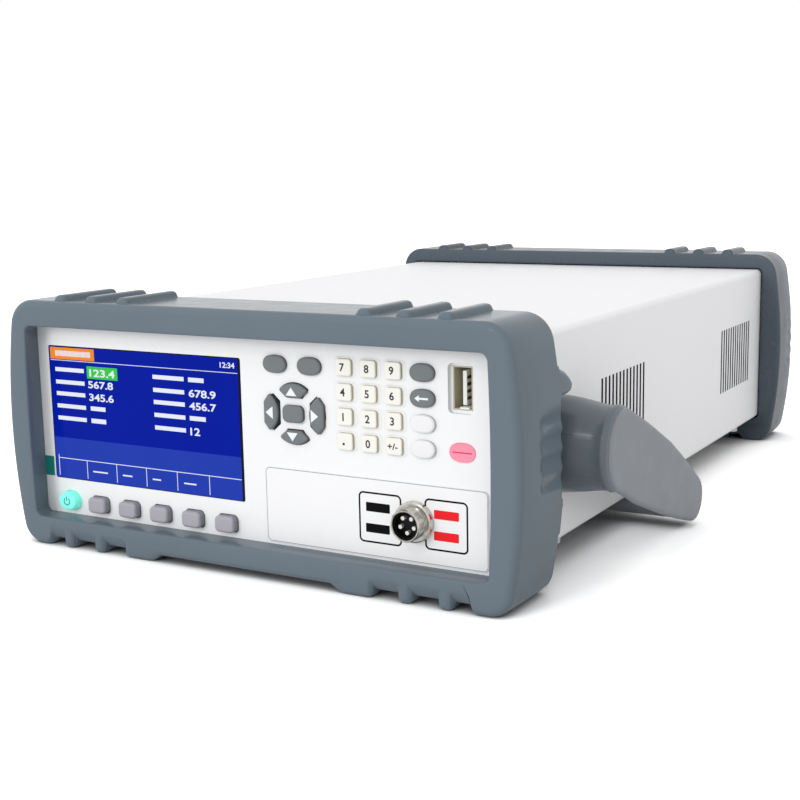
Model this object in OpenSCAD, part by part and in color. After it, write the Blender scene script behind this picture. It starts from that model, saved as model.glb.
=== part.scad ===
// Bench resistance meter: a half-width sheet-metal case between two moulded bumpers,
// with a bail handle, a colour screen, a keypad and a five-pole test socket.
// X runs to the right as the user sees it, Y runs from the front to the back, Z is up.
// The origin is under the middle of the case, on the surface that the feet stand on.
// Every module below is drawn with Y counted from the front face of the front bumper.

/* [Case] */
// Thickness of the sheet metal
sheet_t = 1.2; // [0.8:0.1:1.6]
// Outer radius of the cover's bends
bend_r = 2.5; // [2:0.1:4]
// Length over both bumpers
overall_d = 361; // [340:1:400]
// Width of the turned-in hem along the cover's lower edges
hem_w = 8; // [7.5:0.25:8.5]

/* [Cooling slots] */
// Slots in one group
vent_count = 13; // [6:1:15]
// Distance from one slot to the next
vent_pitch = 4; // [3.5:0.1:4.5]
// Width of one slot
vent_w = 2; // [1.2:0.1:2.6]
// Height of the slots
vent_h = 32; // [20:1:40]
// Height of the slots' lower ends above the case's underside
vent_rise = 24; // [18:1:32]
// From the front face to the first slot of the front group
vent_front = 99.8; // [90:0.2:120]
// From the first slot of the front group to the first slot of the rear group
vent_group_step = 162; // [100:1:180]

/* [Bumpers] */
// Length of each bumper, front to back
bumper_d = 30; // [26:1:40]
// How far the bumpers stand out beyond the case's sides at mid height
bumper_side = 12; // [10:0.5:16]
// How far the bumpers stand above the case
bumper_top = 9.1; // [7:0.1:14]
// Height of the case's underside above the table
foot_h = 13; // [12.5:0.1:18]
// How much narrower the bumpers are at the top and bottom, on each side
bulge = 4.6; // [2:0.1:6]
// Radius of the bumpers' upper corners
corner_r = 13; // [8:0.5:18]
// Radius of the bumpers' lower corners
low_corner_r = 9.5; // [6:0.5:13]
// Radius of the edge round the bumper's face
face_edge_r = 4; // [2:0.25:5]
// Radius of the edge on the case side of the bumper
back_edge_r = 1.5; // [0.5:0.25:2.5]
// How far the panels lie behind the bumper's face
recess_d = 10; // [8:0.5:14]
// How far the face's opening bows out at mid height
opening_bow = 1.6; // [0.8:0.1:2.4]
// Clearance between a bumper and the case
slide_gap = 0.6; // [0.3:0.1:1]

/* [Bumper ribs and feet] */
// Ribs on each side of the top
rib_count = 3; // [2:1:3]
// Distance from the middle to the first rib
rib_first = 55.5; // [40:0.5:58]
// Distance from one rib to the next
rib_pitch = 16.4; // [13:0.1:18]
// Width of a rib where it leaves the surface
rib_w = 6; // [5:0.25:8]
// Height of the ribs on top
rib_h = 2; // [1.5:0.1:3]
// How far the feet reach below the bumper's lower edge
ground_gap = 2.6; // [2:0.1:4]
// Inner end of the broad foot pad, from the middle
pad_inner = 44; // [36:0.5:46]
// Inner end of the corner foot, from the middle
corner_foot = 98.5; // [96:0.5:102]
// Grooves in each side of a bumper
groove_count = 4; // [3:1:5]
// Distance from one side groove to the next
groove_pitch = 7.3; // [6:0.1:8]

/* [Front panel] */
// Thickness of the front and rear panels
panel_t = 2.5; // [2:0.1:3]
// How far the panels overlap the case's edge
panel_lap = 2.4; // [2:0.1:3]
// Width of the screen window
window_w = 98.7; // [80:0.1:120]
// Height of the screen window
window_h = 56.2; // [45:0.1:70]
// From the case's left side to the screen window
window_margin = 4.45; // [4:0.05:12]
// From the screen window to the case's top
window_drop = 11.2; // [8:0.1:16]
// From the soft keys to the screen window
window_lift = 6.1; // [3.5:0.1:10]
// From the screen window to the arrow keys
cluster_gap = 11.25; // [8:0.05:20]
// From the arrow keys to the number keys
pad_gap = 5.45; // [2:0.05:12]
// From the number keys to the function keys
function_gap = 2.35; // [1.5:0.05:8]
// From the function keys to the USB recess
port_gap = 3.9; // [2:0.1:10]
// From the USB recess to the case's right side
port_margin = 11.4; // [6:0.1:16]
// From the number keys' top row to the case's top
pad_drop = 8.3; // [6:0.1:14]
// From the lowest number keys to the plate round the test socket
pad_lift = 9.4; // [4:0.1:16]
// Height of the plate round the test socket
plate_h = 29.3; // [24:0.1:40]
// Thickness of that plate
plate_t = 0.5; // [0.3:0.1:0.8]
// From the case's underside to that plate
plate_margin = 0.05; // [0:0.05:3]
// From that plate to the screen window
plate_gap = 10.45; // [8:0.05:16]

/* [Keys] */
// Gap round each key in the panel
key_gap = 0.3; // [0.3:0.05:0.5]
// How far each key's flange reaches beyond its cap
key_flange = 0.5; // [0.45:0.05:0.55]
// Thickness of the keys' flanges
flange_t = 1.2; // [0.8:0.1:1.4]
// Travel of every key
key_travel = 0.8; // [0.5:0.1:1]
// Width of a soft key under the screen
soft_w = 9.2; // [7:0.1:11]
// Height of a soft key
soft_h = 6.6; // [5:0.1:8]
// How far the soft keys stand out of the panel
soft_out = 3.5; // [2:0.1:4.5]
// Middle of the soft keys above the case's underside
soft_rise = 4.6; // [4.4:0.1:8]
// Width of a number key
number_w = 8; // [6.5:0.1:8.6]
// Height of a number key
number_h = 6.9; // [5.5:0.1:7.4]
// How far the number, function and arrow keys stand out
low_out = 1.8; // [1:0.1:3]
// Distance between the number keys' columns
number_pitch_x = 10.35; // [10:0.05:10.6]
// Distance between the keypad's rows
number_pitch_z = 9.15; // [8.8:0.05:9.4]
// Width of an oval function key
oval_w = 10.8; // [9:0.1:11.4]
// Height of an oval function key
oval_h = 7; // [6:0.1:7.6]
// Size of the enter key in the middle of the arrows
enter_w = 9.8; // [7:0.1:10]
// Height of the enter key
enter_h = 6.9; // [6:0.1:7.4]
// Width of the power key
power_w = 9.6; // [8:0.1:9.8]
// Height of the power key
power_h = 7.8; // [6.6:0.1:8]

/* [Test socket] */
// Radius of the socket's threaded barrel
barrel_r = 6; // [5.5:0.1:6.5]
// How far the barrel stands out of the plate
barrel_out = 7.8; // [6:0.1:8.5]
// Radius of the socket's flange
socket_flange_r = 7.7; // [7.2:0.1:9]
// Radius of the circle that the pins stand on
pin_circle_r = 2.9; // [2.4:0.1:3.4]
// Number of pins
pin_count = 5; // [3:1:6]

/* [Handle] */
// Distance between the handle's outer faces
handle_w = 264; // [262:1:272]
// Thickness of the arms
arm_t = 5; // [4:0.25:6]
// From the front face to the handle's pivot
pivot_y = 57.5; // [56:0.5:62]
// Height of the pivot above the case's underside
pivot_rise = 38; // [36:0.5:40]
// From the pivot to the middle of the arm's tip
arm_len = 97; // [90:0.5:100]
// Radius of the arm's outline at the pivot
arm_hub_r = 16.6; // [16:0.1:17.6]
// Radius of the arm's outline at the tip
arm_tip_r = 9.9; // [9.6:0.1:11]
// Radius of the drum that runs from the arm to the case
drum_r = 18.3; // [17.6:0.1:20]
// Radius of the boss that the arm turns on
boss_r = 9; // [7:0.25:11]
// Running clearance on that boss
boss_gap = 0.05; // [0.02:0.01:0.1]
// Width of the grip bar along the arms
grip_w = 14.6; // [12:0.1:15]
// Thickness of the grip bar
grip_t = 8; // [6.5:0.1:8.2]

/* [Inside and rear] */
// Thickness of the circuit boards
board_t = 1.6; // [1:0.2:2]
// Height of the standoffs under the boards
standoff_h = 7; // [5:0.5:10]
// Width of the mains inlet's flange
inlet_w = 31; // [30:0.5:36]
// Height of the mains inlet's flange
inlet_h = 38; // [36:0.5:44]
// Pull-out length of the fuse drawer
drawer_pull = 14; // [6:0.5:16]

/* [Hidden] */
$fn = 48;
eps = 0.01;

// The arrow keys: length, depth, flat side, height of the tips; steps from the enter key
upright_lens = [12.4, 5.5, 6.8, 3.2];
sideways_lens = [13.9, 6.6, 8.5, 2.8];
upright_step = enter_h / 2 + upright_lens[1] / 2 + 2.7;
sideways_step = enter_w / 2 + sideways_lens[1] / 2 + 2;

// The USB socket and its recess
usb_w = 7.6;
usb_h = 15.4;
usb_wall = 0.4;
usb_depth = 13;
usb_rim = 1.2;
usb_sink = 1.8;

// The front panel's rows and columns add up to the case's width and height
cluster_w = 2 * sideways_step + sideways_lens[1];
pad_w = 2 * number_pitch_x + number_w;
port_w = usb_w + 2 * usb_rim;
case_w = window_margin + window_w + cluster_gap + cluster_w + pad_gap + pad_w + function_gap
    + oval_w + port_gap + port_w + port_margin;
screen_stack = soft_rise + soft_h / 2 + window_lift + window_h + window_drop;
pad_stack = plate_margin + plate_h + pad_lift + 3 * number_pitch_z + number_h + pad_drop;
case_h = max(screen_stack, pad_stack);

// Heights and lengths that follow from the sizes above
case_top = foot_h + case_h;
case_half = case_w / 2;
case_mid = foot_h + case_h / 2;
bumper_half = case_half + bumper_side;
bumper_h = case_top + bumper_top;
panel_y = recess_d;
case_y = recess_d + panel_t;
case_d = overall_d - 2 * case_y;
opening_half = case_half + 1.3;
opening_low = foot_h - 1;
opening_high = case_top - 2.2;
inner_half = case_half - sheet_t;
floor_z = foot_h + sheet_t;
tray_z = floor_z + sheet_t;
pivot_z = foot_h + pivot_rise;

// The screen stack behind the panel
window_x = window_margin + window_w / 2 - case_half;
window_z = case_top - window_drop - window_h / 2;
window_rim = 1.2;
window_rim_t = 1;
lcd_y = case_y + window_rim_t;
board_y = lcd_y + 4.8;

// The keys, from the panel's face to the switches
flange_gap = 0.3;
flange_y = case_y + flange_gap;
stem_len = 1;
switch_y = flange_y + flange_t + stem_len + key_travel + flange_gap;
cap_edge = 0.5;
cluster_x = window_x + window_w / 2 + cluster_gap + cluster_w / 2;
keypad_x = cluster_x + cluster_w / 2 + pad_gap + pad_w / 2;
function_x = keypad_x + pad_w / 2 + function_gap + oval_w / 2;
keypad_z = case_top - pad_drop - number_h / 2;
oval_gap = 4.6;
oval_step = (oval_w + oval_gap) / 2;
oval_z = keypad_z - 0.55;
cluster_z = oval_z - oval_h / 2 - 3.3 - upright_lens[1] / 2 - upright_step;
soft_pitch = window_w / 6;
soft_x = window_x - window_w / 2 + 1.48 * soft_pitch;
soft_z = foot_h + soft_rise;
power_x = (window_x - window_w / 2 + soft_x - soft_w / 2) / 2 - 1.6;

// Ports in the front panel
usb_x = function_x + oval_w / 2 + port_gap + port_w / 2;
usb_z = keypad_z + number_h / 2 + 0.5 - usb_h / 2 - usb_rim + 0.05;
lamp_x = usb_x + 0.5;
lamp_w = 10.2;
lamp_z = keypad_z - 3 * number_pitch_z;
plate_margin_x = 5.8;
plate_w = case_half - plate_margin_x - (window_x + window_w / 2 + plate_gap);
plate_x = case_half - plate_margin_x - plate_w / 2;
plate_z = foot_h + plate_margin + plate_h / 2;
socket_x = case_half - plate_margin_x - plate_h;
socket_z = plate_z + 0.7;
plate_y = panel_y - plate_t;
socket_flange_t = 2.4;
barrel_wall = 0.85;
pin_r = 0.75;
nut_t = 2.4;
fit_gap = 0.1;

// The handle in its stored position: the arms point back and down
arm_x = handle_w / 2 - arm_t;
tip_y = pivot_y + arm_len * 0.916;
tip_z = pivot_z - arm_len * 0.4;
belly_r = arm_hub_r - 1.7;
arm_edge = 2;
drum_gap = 0.4;
boss_len = 16;
boss_flange_r = 13;
boss_flange_t = 1.6;
grip_y = tip_y;
grip_z = foot_h - 1.4 - grip_t / 2;
ear_tip_r = 2.6;
upper_ear = [10.9, 74.6, 71.6, 84];
lower_ear = [4.9, 33.6, 21.5, 36.2];

// The rear panel's ports
rear_y = overall_d - recess_d - panel_t;
rear_face = overall_d - recess_d;
inlet_x = 33 - case_half;
inlet_z = case_mid;
inlet_flange_t = 2.5;
inlet_body_w = inlet_w - 5;
inlet_body_h = inlet_h - 6;
inlet_depth = 24;
cavity_w = 24;
cavity_h = 16.4;
cavity_depth = 16;
cavity_rise = 6.5;
drawer_w = 21;
drawer_h = 6;
drawer_depth = 20;
drawer_drop = 10.5;
drawer_gap = 0.4;
serial_w = 19;
serial_step = 12.5;
handler_w = 41;
handler_step = 23.5;
shell_h = 10;
handler_x = case_half - 35;
serial_x = handler_x - handler_step - serial_step - 8;
port_z = case_mid + 8;
post_x = inlet_x + 44;
post_z = case_mid - 14;

// The boards' outlines: corner, size, and the inset of the holes
main_size = [118, 196];
supply_size = [60, 118];
board_margin = 7.8;
main_at = [inner_half - board_margin - main_size[0], case_y + 57.5];
supply_at = [board_margin - inner_half, rear_y - 25.5 - supply_size[1]];
tray_slots = 10;
tray_slot_at = [-45, case_y + 97.5];
hole_in = 6;
screw_r = 1.5;
head_r = 2.9;
head_h = 1.9;
cover_screw_x = case_half - hem_w / 2 - 0.4;
cover_screw_y = [62, overall_d - 62];
bumper_screw_x = 30;
bumper_screw_y = 21;
boss_x = inner_half - 3.7;
middle_x = window_x + window_w / 2 + plate_gap / 2 - 0.5;
front_holes = [
    [-boss_x, foot_h + 5], [middle_x, foot_h + 4.2], [boss_x, keypad_row(3) - 9.2],
    [-boss_x, case_top - 4.6], [middle_x, case_top - 4.3], [boss_x, case_top - 4.4]
];

// Keys: name, outline, place across, height
function digit_name(r, c) = str("key_", 7 - 3 * r + c);
KEYS = concat(
    [["power_key", "power", power_x, soft_z + 0.3]],
    [for (i = [0 : 4]) [str("soft_key_", i + 1), "soft", soft_x + i * soft_pitch, soft_z]],
    [
        ["display_key", "oval", cluster_x - oval_step, oval_z],
        ["setup_key", "oval", cluster_x + oval_step, oval_z],
        ["up_key", "up", cluster_x, cluster_z + upright_step],
        ["down_key", "down", cluster_x, cluster_z - upright_step],
        ["left_key", "left", cluster_x - sideways_step, cluster_z],
        ["right_key", "right", cluster_x + sideways_step, cluster_z],
        ["enter_key", "enter", cluster_x, cluster_z]
    ],
    [for (r = [0 : 2], c = [0 : 2]) [digit_name(r, c), "number", keypad_col(c - 1), keypad_row(r)]],
    [
        ["key_point", "number", keypad_col(-1), keypad_row(3)],
        ["key_0", "number", keypad_col(0), keypad_row(3)],
        ["key_sign", "number", keypad_col(1), keypad_row(3)],
        ["escape_key", "oval", function_x, keypad_row(0)],
        ["back_key", "oval", function_x, keypad_row(1)],
        ["lock_key", "oval", function_x, keypad_row(2)],
        ["trigger_key", "oval", function_x, keypad_row(3)]
    ]
);
function keypad_col(c) = keypad_x + c * number_pitch_x;
function keypad_row(r) = keypad_z - r * number_pitch_z;

// Moves a piece from the front-face origin to the part's own origin
module in_place() {
    translate([0, -overall_d / 2, 0])
        children();
}

// Turns a flat outline, drawn as X and Z, into a slab between two depths
module slab(y0, y1) {
    translate([0, y1, 0])
        rotate([90, 0, 0])
            linear_extrude(y1 - y0)
                children();
}

// A box given by its limits
module block(x0, x1, y0, y1, z0, z1) {
    translate([x0, y0, z0])
        cube([x1 - x0, y1 - y0, z1 - z0]);
}

// A rod along Y
module rod_y(x, z, r, y0, y1) {
    translate([x, y1, z])
        rotate([90, 0, 0])
            cylinder(r = r, h = y1 - y0);
}

module rounded_rect(w, h, r) {
    square([w - 2 * r, h], center = true);
    square([w, h - 2 * r], center = true);
    for (sx = [-1, 1], sy = [-1, 1])
        translate([sx * (w / 2 - r), sy * (h / 2 - r)])
            circle(r = r);
}

// An upright rectangle between two heights with bowed sides and rounded corners
module barrel(half_w, z0, z1, bow, r, low_r) {
    half_h = (z1 - z0) / 2;
    side_r = (half_h * half_h + bow * bow) / (2 * bow);
    centre = half_w - side_r;
    function turn(q) = asin((half_h - q) / (side_r - q));
    function corner(q, i) = let (a = turn(q) + (90 - turn(q)) * i / 5)
        [centre + (side_r - q) * cos(turn(q)) + q * cos(a), half_h - q + q * sin(a)];
    upper = [for (i = [1 : 5]) corner(r, i)];
    side = [for (i = [-4 : 4]) let (a = turn(i < 0 ? low_r : r) * i / 4)
        [centre + side_r * cos(a), side_r * sin(a)]];
    lower = [for (i = [5 : -1 : 1]) [corner(low_r, i)[0], -corner(low_r, i)[1]]];
    right = concat(lower, side, upper);
    left = [for (i = [len(right) - 1 : -1 : 0]) [-right[i][0], right[i][1]]];
    translate([0, (z0 + z1) / 2])
        polygon(concat(right, left));
}

// A lens with one flat side; grow moves its outline outwards
module lens(size, grow) {
    half_len = size[0] / 2;
    rise = size[1] - size[3];
    arc_r = (half_len * half_len + rise * rise) / (2 * rise);
    open = asin(min(1, (half_len + grow) / (arc_r + grow)));
    flat = size[2] / 2 + grow / 2;
    arc = [for (i = [-6 : 6]) [
        (arc_r + grow) * sin(open * i / 6),
        size[1] / 2 - arc_r + (arc_r + grow) * cos(open * i / 6)
    ]];
    polygon(concat(arc, [[flat, -size[1] / 2 - grow], [-flat, -size[1] / 2 - grow]]));
}

// An oval a little squarer than an ellipse
module oval(w, h) {
    function swell(v) = sign(v) * pow(abs(v), 0.88);
    polygon([for (i = [0 : 23]) [w / 2 * swell(cos(i * 15)), h / 2 * swell(sin(i * 15))]]);
}

// The outline of each kind of key, moved outwards by grow
module key_outline(kind, grow) {
    if (kind == "soft") rounded_rect(soft_w + 2 * grow, soft_h + 2 * grow, 1.8 + grow, $fn = 16);
    if (kind == "number") rounded_rect(number_w + 2 * grow, number_h + 2 * grow, 1.2 + grow, $fn = 16);
    if (kind == "enter") rounded_rect(enter_w + 2 * grow, enter_h + 2 * grow, 2.2 + grow, $fn = 16);
    if (kind == "power")
        polygon([for (a = [0 : 11.25 : 359]) [(power_w / 2 + grow) * cos(a), (power_h / 2 + grow) * sin(a)]]);
    if (kind == "oval") oval(oval_w + 2 * grow, oval_h + 2 * grow);
    if (kind == "up") lens(upright_lens, grow);
    if (kind == "down") rotate(180) lens(upright_lens, grow);
    if (kind == "left") rotate(90) lens(sideways_lens, grow);
    if (kind == "right") rotate(-90) lens(sideways_lens, grow);
}

function key_out(kind) = kind == "soft" || kind == "power" ? soft_out : low_out;

function key_color(kind) =
    kind == "soft" ? [0.62, 0.60, 0.65] :
    kind == "number" ? [0.93, 0.92, 0.86] :
    kind == "power" ? [0.45, 0.95, 0.85] : [0.42, 0.45, 0.47];

// A key: cap with a chamfered face, retaining flange behind the panel, and stem
module push_key(k) {
    kind = k[1];
    face_y = panel_y - key_out(kind);
    color(key_color(kind)) in_place() translate([k[2], 0, k[3]]) {
        hull() {
            slab(face_y, face_y + eps)
                key_outline(kind, -cap_edge);
            slab(face_y + cap_edge, flange_y)
                key_outline(kind, 0);
        }
        slab(flange_y, flange_y + flange_t)
            key_outline(kind, key_flange);
        rod_y(0, 0, 1.4, flange_y + flange_t, flange_y + flange_t + stem_len);
    }
}

// The bumper's outside between two depths, drawn in by inset
module bumper_slice(y0, y1, inset) {
    slab(y0, y1)
        barrel(bumper_half - inset, inset, bumper_h - inset, bulge, corner_r - inset, low_corner_r - inset);
}

// The bumper's outside, with rounded edges front and back
module bumper_outside() {
    hull() {
        for (a = [0, 45])
            bumper_slice(face_edge_r * (1 - cos(a)), face_edge_r * (1 - cos(a)) + 0.05,
                face_edge_r * (1 - sin(a)));
        bumper_slice(face_edge_r, bumper_d - back_edge_r, 0);
        bumper_slice(bumper_d - 0.05, bumper_d, back_edge_r);
    }
}

// A rounded bar or pad, from one rib's middle to another's, that runs from front to back and
// stands out of a surface; dir is 1 on top and -1 below
module rib(x0, x1, surface, h, dir) {
    r = (rib_w * rib_w / 4 + h * h) / (2 * h);
    z = surface + dir * (h - r);
    hull()
        for (x = [x0, x1]) {
            rod_y(x, z, r, r, bumper_d - r);
            for (y = [r, bumper_d - r])
                translate([x, y, z])
                    rotate([90, 0, 0])
                        sphere(r = r);
        }
}

// One bumper with its face at y = 0 and the case behind it; the side grooves run out of its
// back edge or out of its face
module bumper_body(grooves_back) {
    $fn = 16;
    groove_y = grooves_back ? 0.62 * bumper_d : 0.38 * bumper_d;
    difference() {
        union() {
            difference() {
                bumper_outside();
                // Raised middle between the corner feet, with a rounded front edge
                block(-corner_foot, corner_foot, -1, bumper_d + 1, -1, ground_gap);
                difference() {
                    block(-corner_foot, corner_foot, -1, face_edge_r, 0, ground_gap + face_edge_r);
                    translate([-case_w, face_edge_r, ground_gap + face_edge_r])
                        rotate([0, 90, 0])
                            cylinder(r = face_edge_r, h = 2 * case_w);
                }
            }
            for (side = [0, 1])
                mirror([side, 0, 0]) {
                    for (i = [0 : rib_count - 1]) {
                        x = rib_first + i * rib_pitch;
                        rib(x, x, bumper_h, rib_h, 1);
                        rib(i == 0 ? pad_inner + 2 : x, x, ground_gap, ground_gap, -1);
                    }
                }
        }
        // Opening in the face, bowed at the sides, straight where it meets the panel
        hull() {
            slab(-0.1, 0)
                barrel(opening_half - 0.8, opening_low, opening_high, opening_bow, 3, 3);
            slab(recess_d, recess_d + 0.1)
                translate([0, (opening_low + opening_high) / 2])
                    rounded_rect(2 * opening_half, opening_high - opening_low, 2.4);
        }
        // Pocket for the panel, then the passage that the case slides into
        block(-case_half - panel_lap - 0.2, case_half + panel_lap + 0.2,
            recess_d, case_y + eps, foot_h - panel_lap - 0.2, case_top + panel_lap + 0.2);
        slab(case_y, bumper_d + 1)
            translate([0, case_mid])
                rounded_rect(case_w + 2 * slide_gap, case_h + 2 * slide_gap, bend_r);
        // Shallow grooves across each side
        for (side = [-1, 1], i = [0 : groove_count - 1])
            translate([side * (bumper_half + 3.6), groove_y,
                    case_mid + 1.3 + (i - (groove_count - 1) / 2) * groove_pitch]) {
                sphere(r = 4.6);
                rotate([grooves_back ? -90 : 90, 0, 0])
                    cylinder(r = 4.6, h = bumper_d);
            }
        // Screws through the lower bar
        for (side = [-1, 1])
            translate([side * bumper_screw_x, bumper_screw_y, 0]) {
                translate([0, 0, -1])
                    cylinder(r = head_r + 0.6, h = foot_h - 4);
                cylinder(r = screw_r + 0.2, h = foot_h);
            }
    }
}

// The two lugs on the bumper's back edge, above and below each handle drum; a shape gives the
// tip's reach behind the bumper, the tip's height, and the lower and upper end of its root
module bumper_ears() {
    $fn = 24;
    lug_x = case_half + slide_gap + 0.4;
    lug_t = bumper_side - bulge / 4 - slide_gap - 0.8;
    for (side = [0, 1], shape = [upper_ear, lower_ear])
        mirror([side, 0, 0])
            translate([lug_x, 0, pivot_z - 51])
                hull() {
                    translate([0, bumper_d + shape[0], shape[1]])
                        rotate([0, 90, 0])
                            cylinder(r = ear_tip_r, h = lug_t);
                    block(0, lug_t, bumper_d - 2, bumper_d - 1.5, shape[2], shape[3]);
                }
}

module front_bumper() {
    color([0.46, 0.51, 0.54]) in_place() {
        bumper_body(true);
        bumper_ears();
    }
}

module rear_bumper() {
    color([0.46, 0.51, 0.54]) in_place()
        translate([0, overall_d, 0])
            mirror([0, 1, 0])
                bumper_body(false);
}

// Sheet-metal cover: top, two sides and a narrow hem along each lower edge
module top_cover() {
    color([0.93, 0.93, 0.94]) in_place()
        difference() {
            slab(case_y, case_y + case_d)
                translate([0, case_mid])
                    difference() {
                        rounded_rect(case_w, case_h, bend_r);
                        rounded_rect(2 * inner_half, case_h - 2 * sheet_t, bend_r - sheet_t);
                        translate([0, -case_h / 2])
                            square([case_w - 2 * hem_w, 4 * sheet_t], center = true);
                    }
            for (g = [0, 1], i = [0 : vent_count - 1])
                translate([-case_w, vent_front + g * vent_group_step + i * vent_pitch, foot_h + vent_rise])
                    cube([2 * case_w, vent_w, vent_h]);
            for (side = [-1, 1], y = cover_screw_y)
                translate([side * cover_screw_x, y, foot_h - 1])
                    cylinder(r = screw_r + 0.2, h = 2 * sheet_t);
        }
}

// Where the boards' screws stand: corners of a board, drawn in by hole_in
function corners(at, size) = [
    for (i = [0, 1], j = [0, 1])
        [at[0] + hole_in + i * (size[0] - 2 * hole_in), at[1] + hole_in + j * (size[1] - 2 * hole_in)]
];

// Sheet-metal tray that lies on the cover's hems and carries the boards
module bottom_tray() {
    wall = 12;
    x1 = inner_half - 0.3;
    y0 = case_y + 12;
    y1 = overall_d - y0;
    corner = bend_r - sheet_t;
    color([0.80, 0.81, 0.82]) in_place()
        difference() {
            union() {
                slab(y0, y1)
                    difference() {
                        polygon([[-x1, floor_z + wall], [-x1, floor_z + corner], [corner - x1, floor_z],
                            [x1 - corner, floor_z], [x1, floor_z + corner], [x1, floor_z + wall]]);
                        translate([0, tray_z + wall / 2])
                            square([2 * (x1 - sheet_t), wall], center = true);
                    }
                for (y = [y0, y1 - sheet_t])
                    block(sheet_t / 2 - x1, x1 - sheet_t / 2, y, y + sheet_t, tray_z - eps, floor_z + wall - 0.5);
                for (p = concat(corners(main_at, main_size), corners(supply_at, supply_size)))
                    translate([p[0], p[1], tray_z - eps])
                        cylinder(r = 3, h = standoff_h + eps);
            }
            for (p = concat(corners(main_at, main_size), corners(supply_at, supply_size)))
                translate([p[0], p[1], tray_z + 1])
                    cylinder(r = screw_r + fit_gap / 2, h = standoff_h);
            for (side = [-1, 1], y = cover_screw_y)
                translate([side * cover_screw_x, y, floor_z - 1])
                    cylinder(r = screw_r + fit_gap / 2, h = 2 * sheet_t + 1);
            // Cooling slots in the floor, under the boards
            for (i = [0 : tray_slots - 1])
                translate([tray_slot_at[0], tray_slot_at[1] + i * 16, floor_z - 1])
                    cube([14, 5, 2 * sheet_t + 1]);
        }
}

// Moulded front panel with its openings, a rim that enters the case and six screw bosses
module front_panel() {
    rim_t = 1.2;
    rim_x = inner_half - 0.4;
    rim_z = case_top - sheet_t - 0.4;
    color([0.95, 0.95, 0.94]) in_place()
        difference() {
            union() {
                block(-case_half - panel_lap, case_half + panel_lap, panel_y, case_y,
                    foot_h - panel_lap, case_top + panel_lap);
                block(-rim_x, rim_x, case_y - eps, case_y + 4, rim_z - rim_t, rim_z);
                for (side = [0, 1])
                    mirror([side, 0, 0])
                        block(rim_x - rim_t, rim_x, case_y - eps, case_y + 4, floor_z + 10, rim_z);
                for (p = front_holes)
                    rod_y(p[0], p[1], 2.4, case_y - eps, board_y);
            }
            for (p = front_holes)
                rod_y(p[0], p[1], screw_r - 0.3, case_y + 0.5, board_y + 1);
            for (k = KEYS)
                translate([k[2], 0, k[3]])
                    slab(panel_y - 1, case_y + 1)
                        key_outline(k[1], key_gap);
            translate([window_x, 0, window_z])
                slab(panel_y - 1, case_y + 1)
                    rounded_rect(window_w + 2 * fit_gap, window_h + 2 * fit_gap, 0.8 + fit_gap);
            translate([lamp_x, 0, lamp_z])
                slab(panel_y - 1, case_y + 1)
                    oval(lamp_w + 2 * fit_gap, oval_h + 2 * fit_gap);
            translate([usb_x, 0, usb_z]) {
                slab(panel_y - 1, panel_y + usb_sink)
                    rounded_rect(usb_w + 2 * usb_rim, usb_h + 2 * usb_rim, 1.8);
                slab(panel_y - 1, case_y + 1)
                    square([usb_w + 2 * fit_gap, usb_h + 2 * fit_gap], center = true);
            }
            rod_y(socket_x, socket_z, barrel_r + fit_gap, panel_y - 1, case_y + 1);
        }
}

// Clear window, flush with the panel, held by a rim behind it
module display_window() {
    color([0.10, 0.20, 0.62]) in_place()
        translate([window_x, 0, window_z]) {
            slab(panel_y, case_y)
                rounded_rect(window_w, window_h, 0.8);
            slab(case_y, case_y + window_rim_t)
                square([window_w + 2 * window_rim, window_h + 2 * window_rim], center = true);
        }
}

// Screen module: metal frame round a glass panel
module lcd_module() {
    frame_w = window_w + 2 * window_rim;
    frame_h = window_h + 5;
    color([0.12, 0.13, 0.16]) in_place()
        translate([window_x, 0, window_z])
            difference() {
                slab(lcd_y, board_y)
                    square([frame_w, frame_h], center = true);
                slab(lcd_y - 1, lcd_y + 0.8)
                    square([window_w - 3, window_h - 2], center = true);
            }
}

// Keypad board with one switch behind every key
module keypad_board() {
    color([0.12, 0.42, 0.24]) in_place()
        difference() {
            union() {
                block(-inner_half + 0.9, inner_half - 0.9, board_y, board_y + board_t,
                    floor_z + 0.6, case_top - sheet_t - 0.6);
                for (k = KEYS)
                    translate([k[2], 0, k[3]]) {
                        slab(switch_y + 0.5, board_y + eps)
                            square([5, 5], center = true);
                        rod_y(0, 0, 1.6, switch_y, switch_y + 0.6);
                    }
            }
            for (p = front_holes)
                rod_y(p[0], p[1], screw_r + 0.2, board_y - 1, board_y + board_t + 1);
            rod_y(socket_x, socket_z, barrel_r + 2.6, board_y - 1, board_y + board_t + 1);
            translate([usb_x, 0, usb_z])
                slab(board_y - 1, board_y + board_t + 1)
                    square([usb_w + 0.4, usb_h + 0.4], center = true);
        }
}

// Thin plate round the test socket
module terminal_plate() {
    color([0.92, 0.92, 0.92]) in_place()
        difference() {
            translate([plate_x, 0, plate_z])
                slab(plate_y, panel_y)
                    rounded_rect(plate_w, plate_h, 2);
            rod_y(socket_x, socket_z, barrel_r + fit_gap, plate_y - 1, panel_y + 1);
        }
}

// Oval lens of the result lamp, with a rim behind the panel
module result_lamp() {
    color([0.97, 0.55, 0.65]) in_place()
        translate([lamp_x, 0, lamp_z]) {
            slab(panel_y - 0.3, case_y)
                oval(lamp_w, oval_h);
            slab(case_y, case_y + 1)
                oval(lamp_w + 2, oval_h + 2);
        }
}

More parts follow.
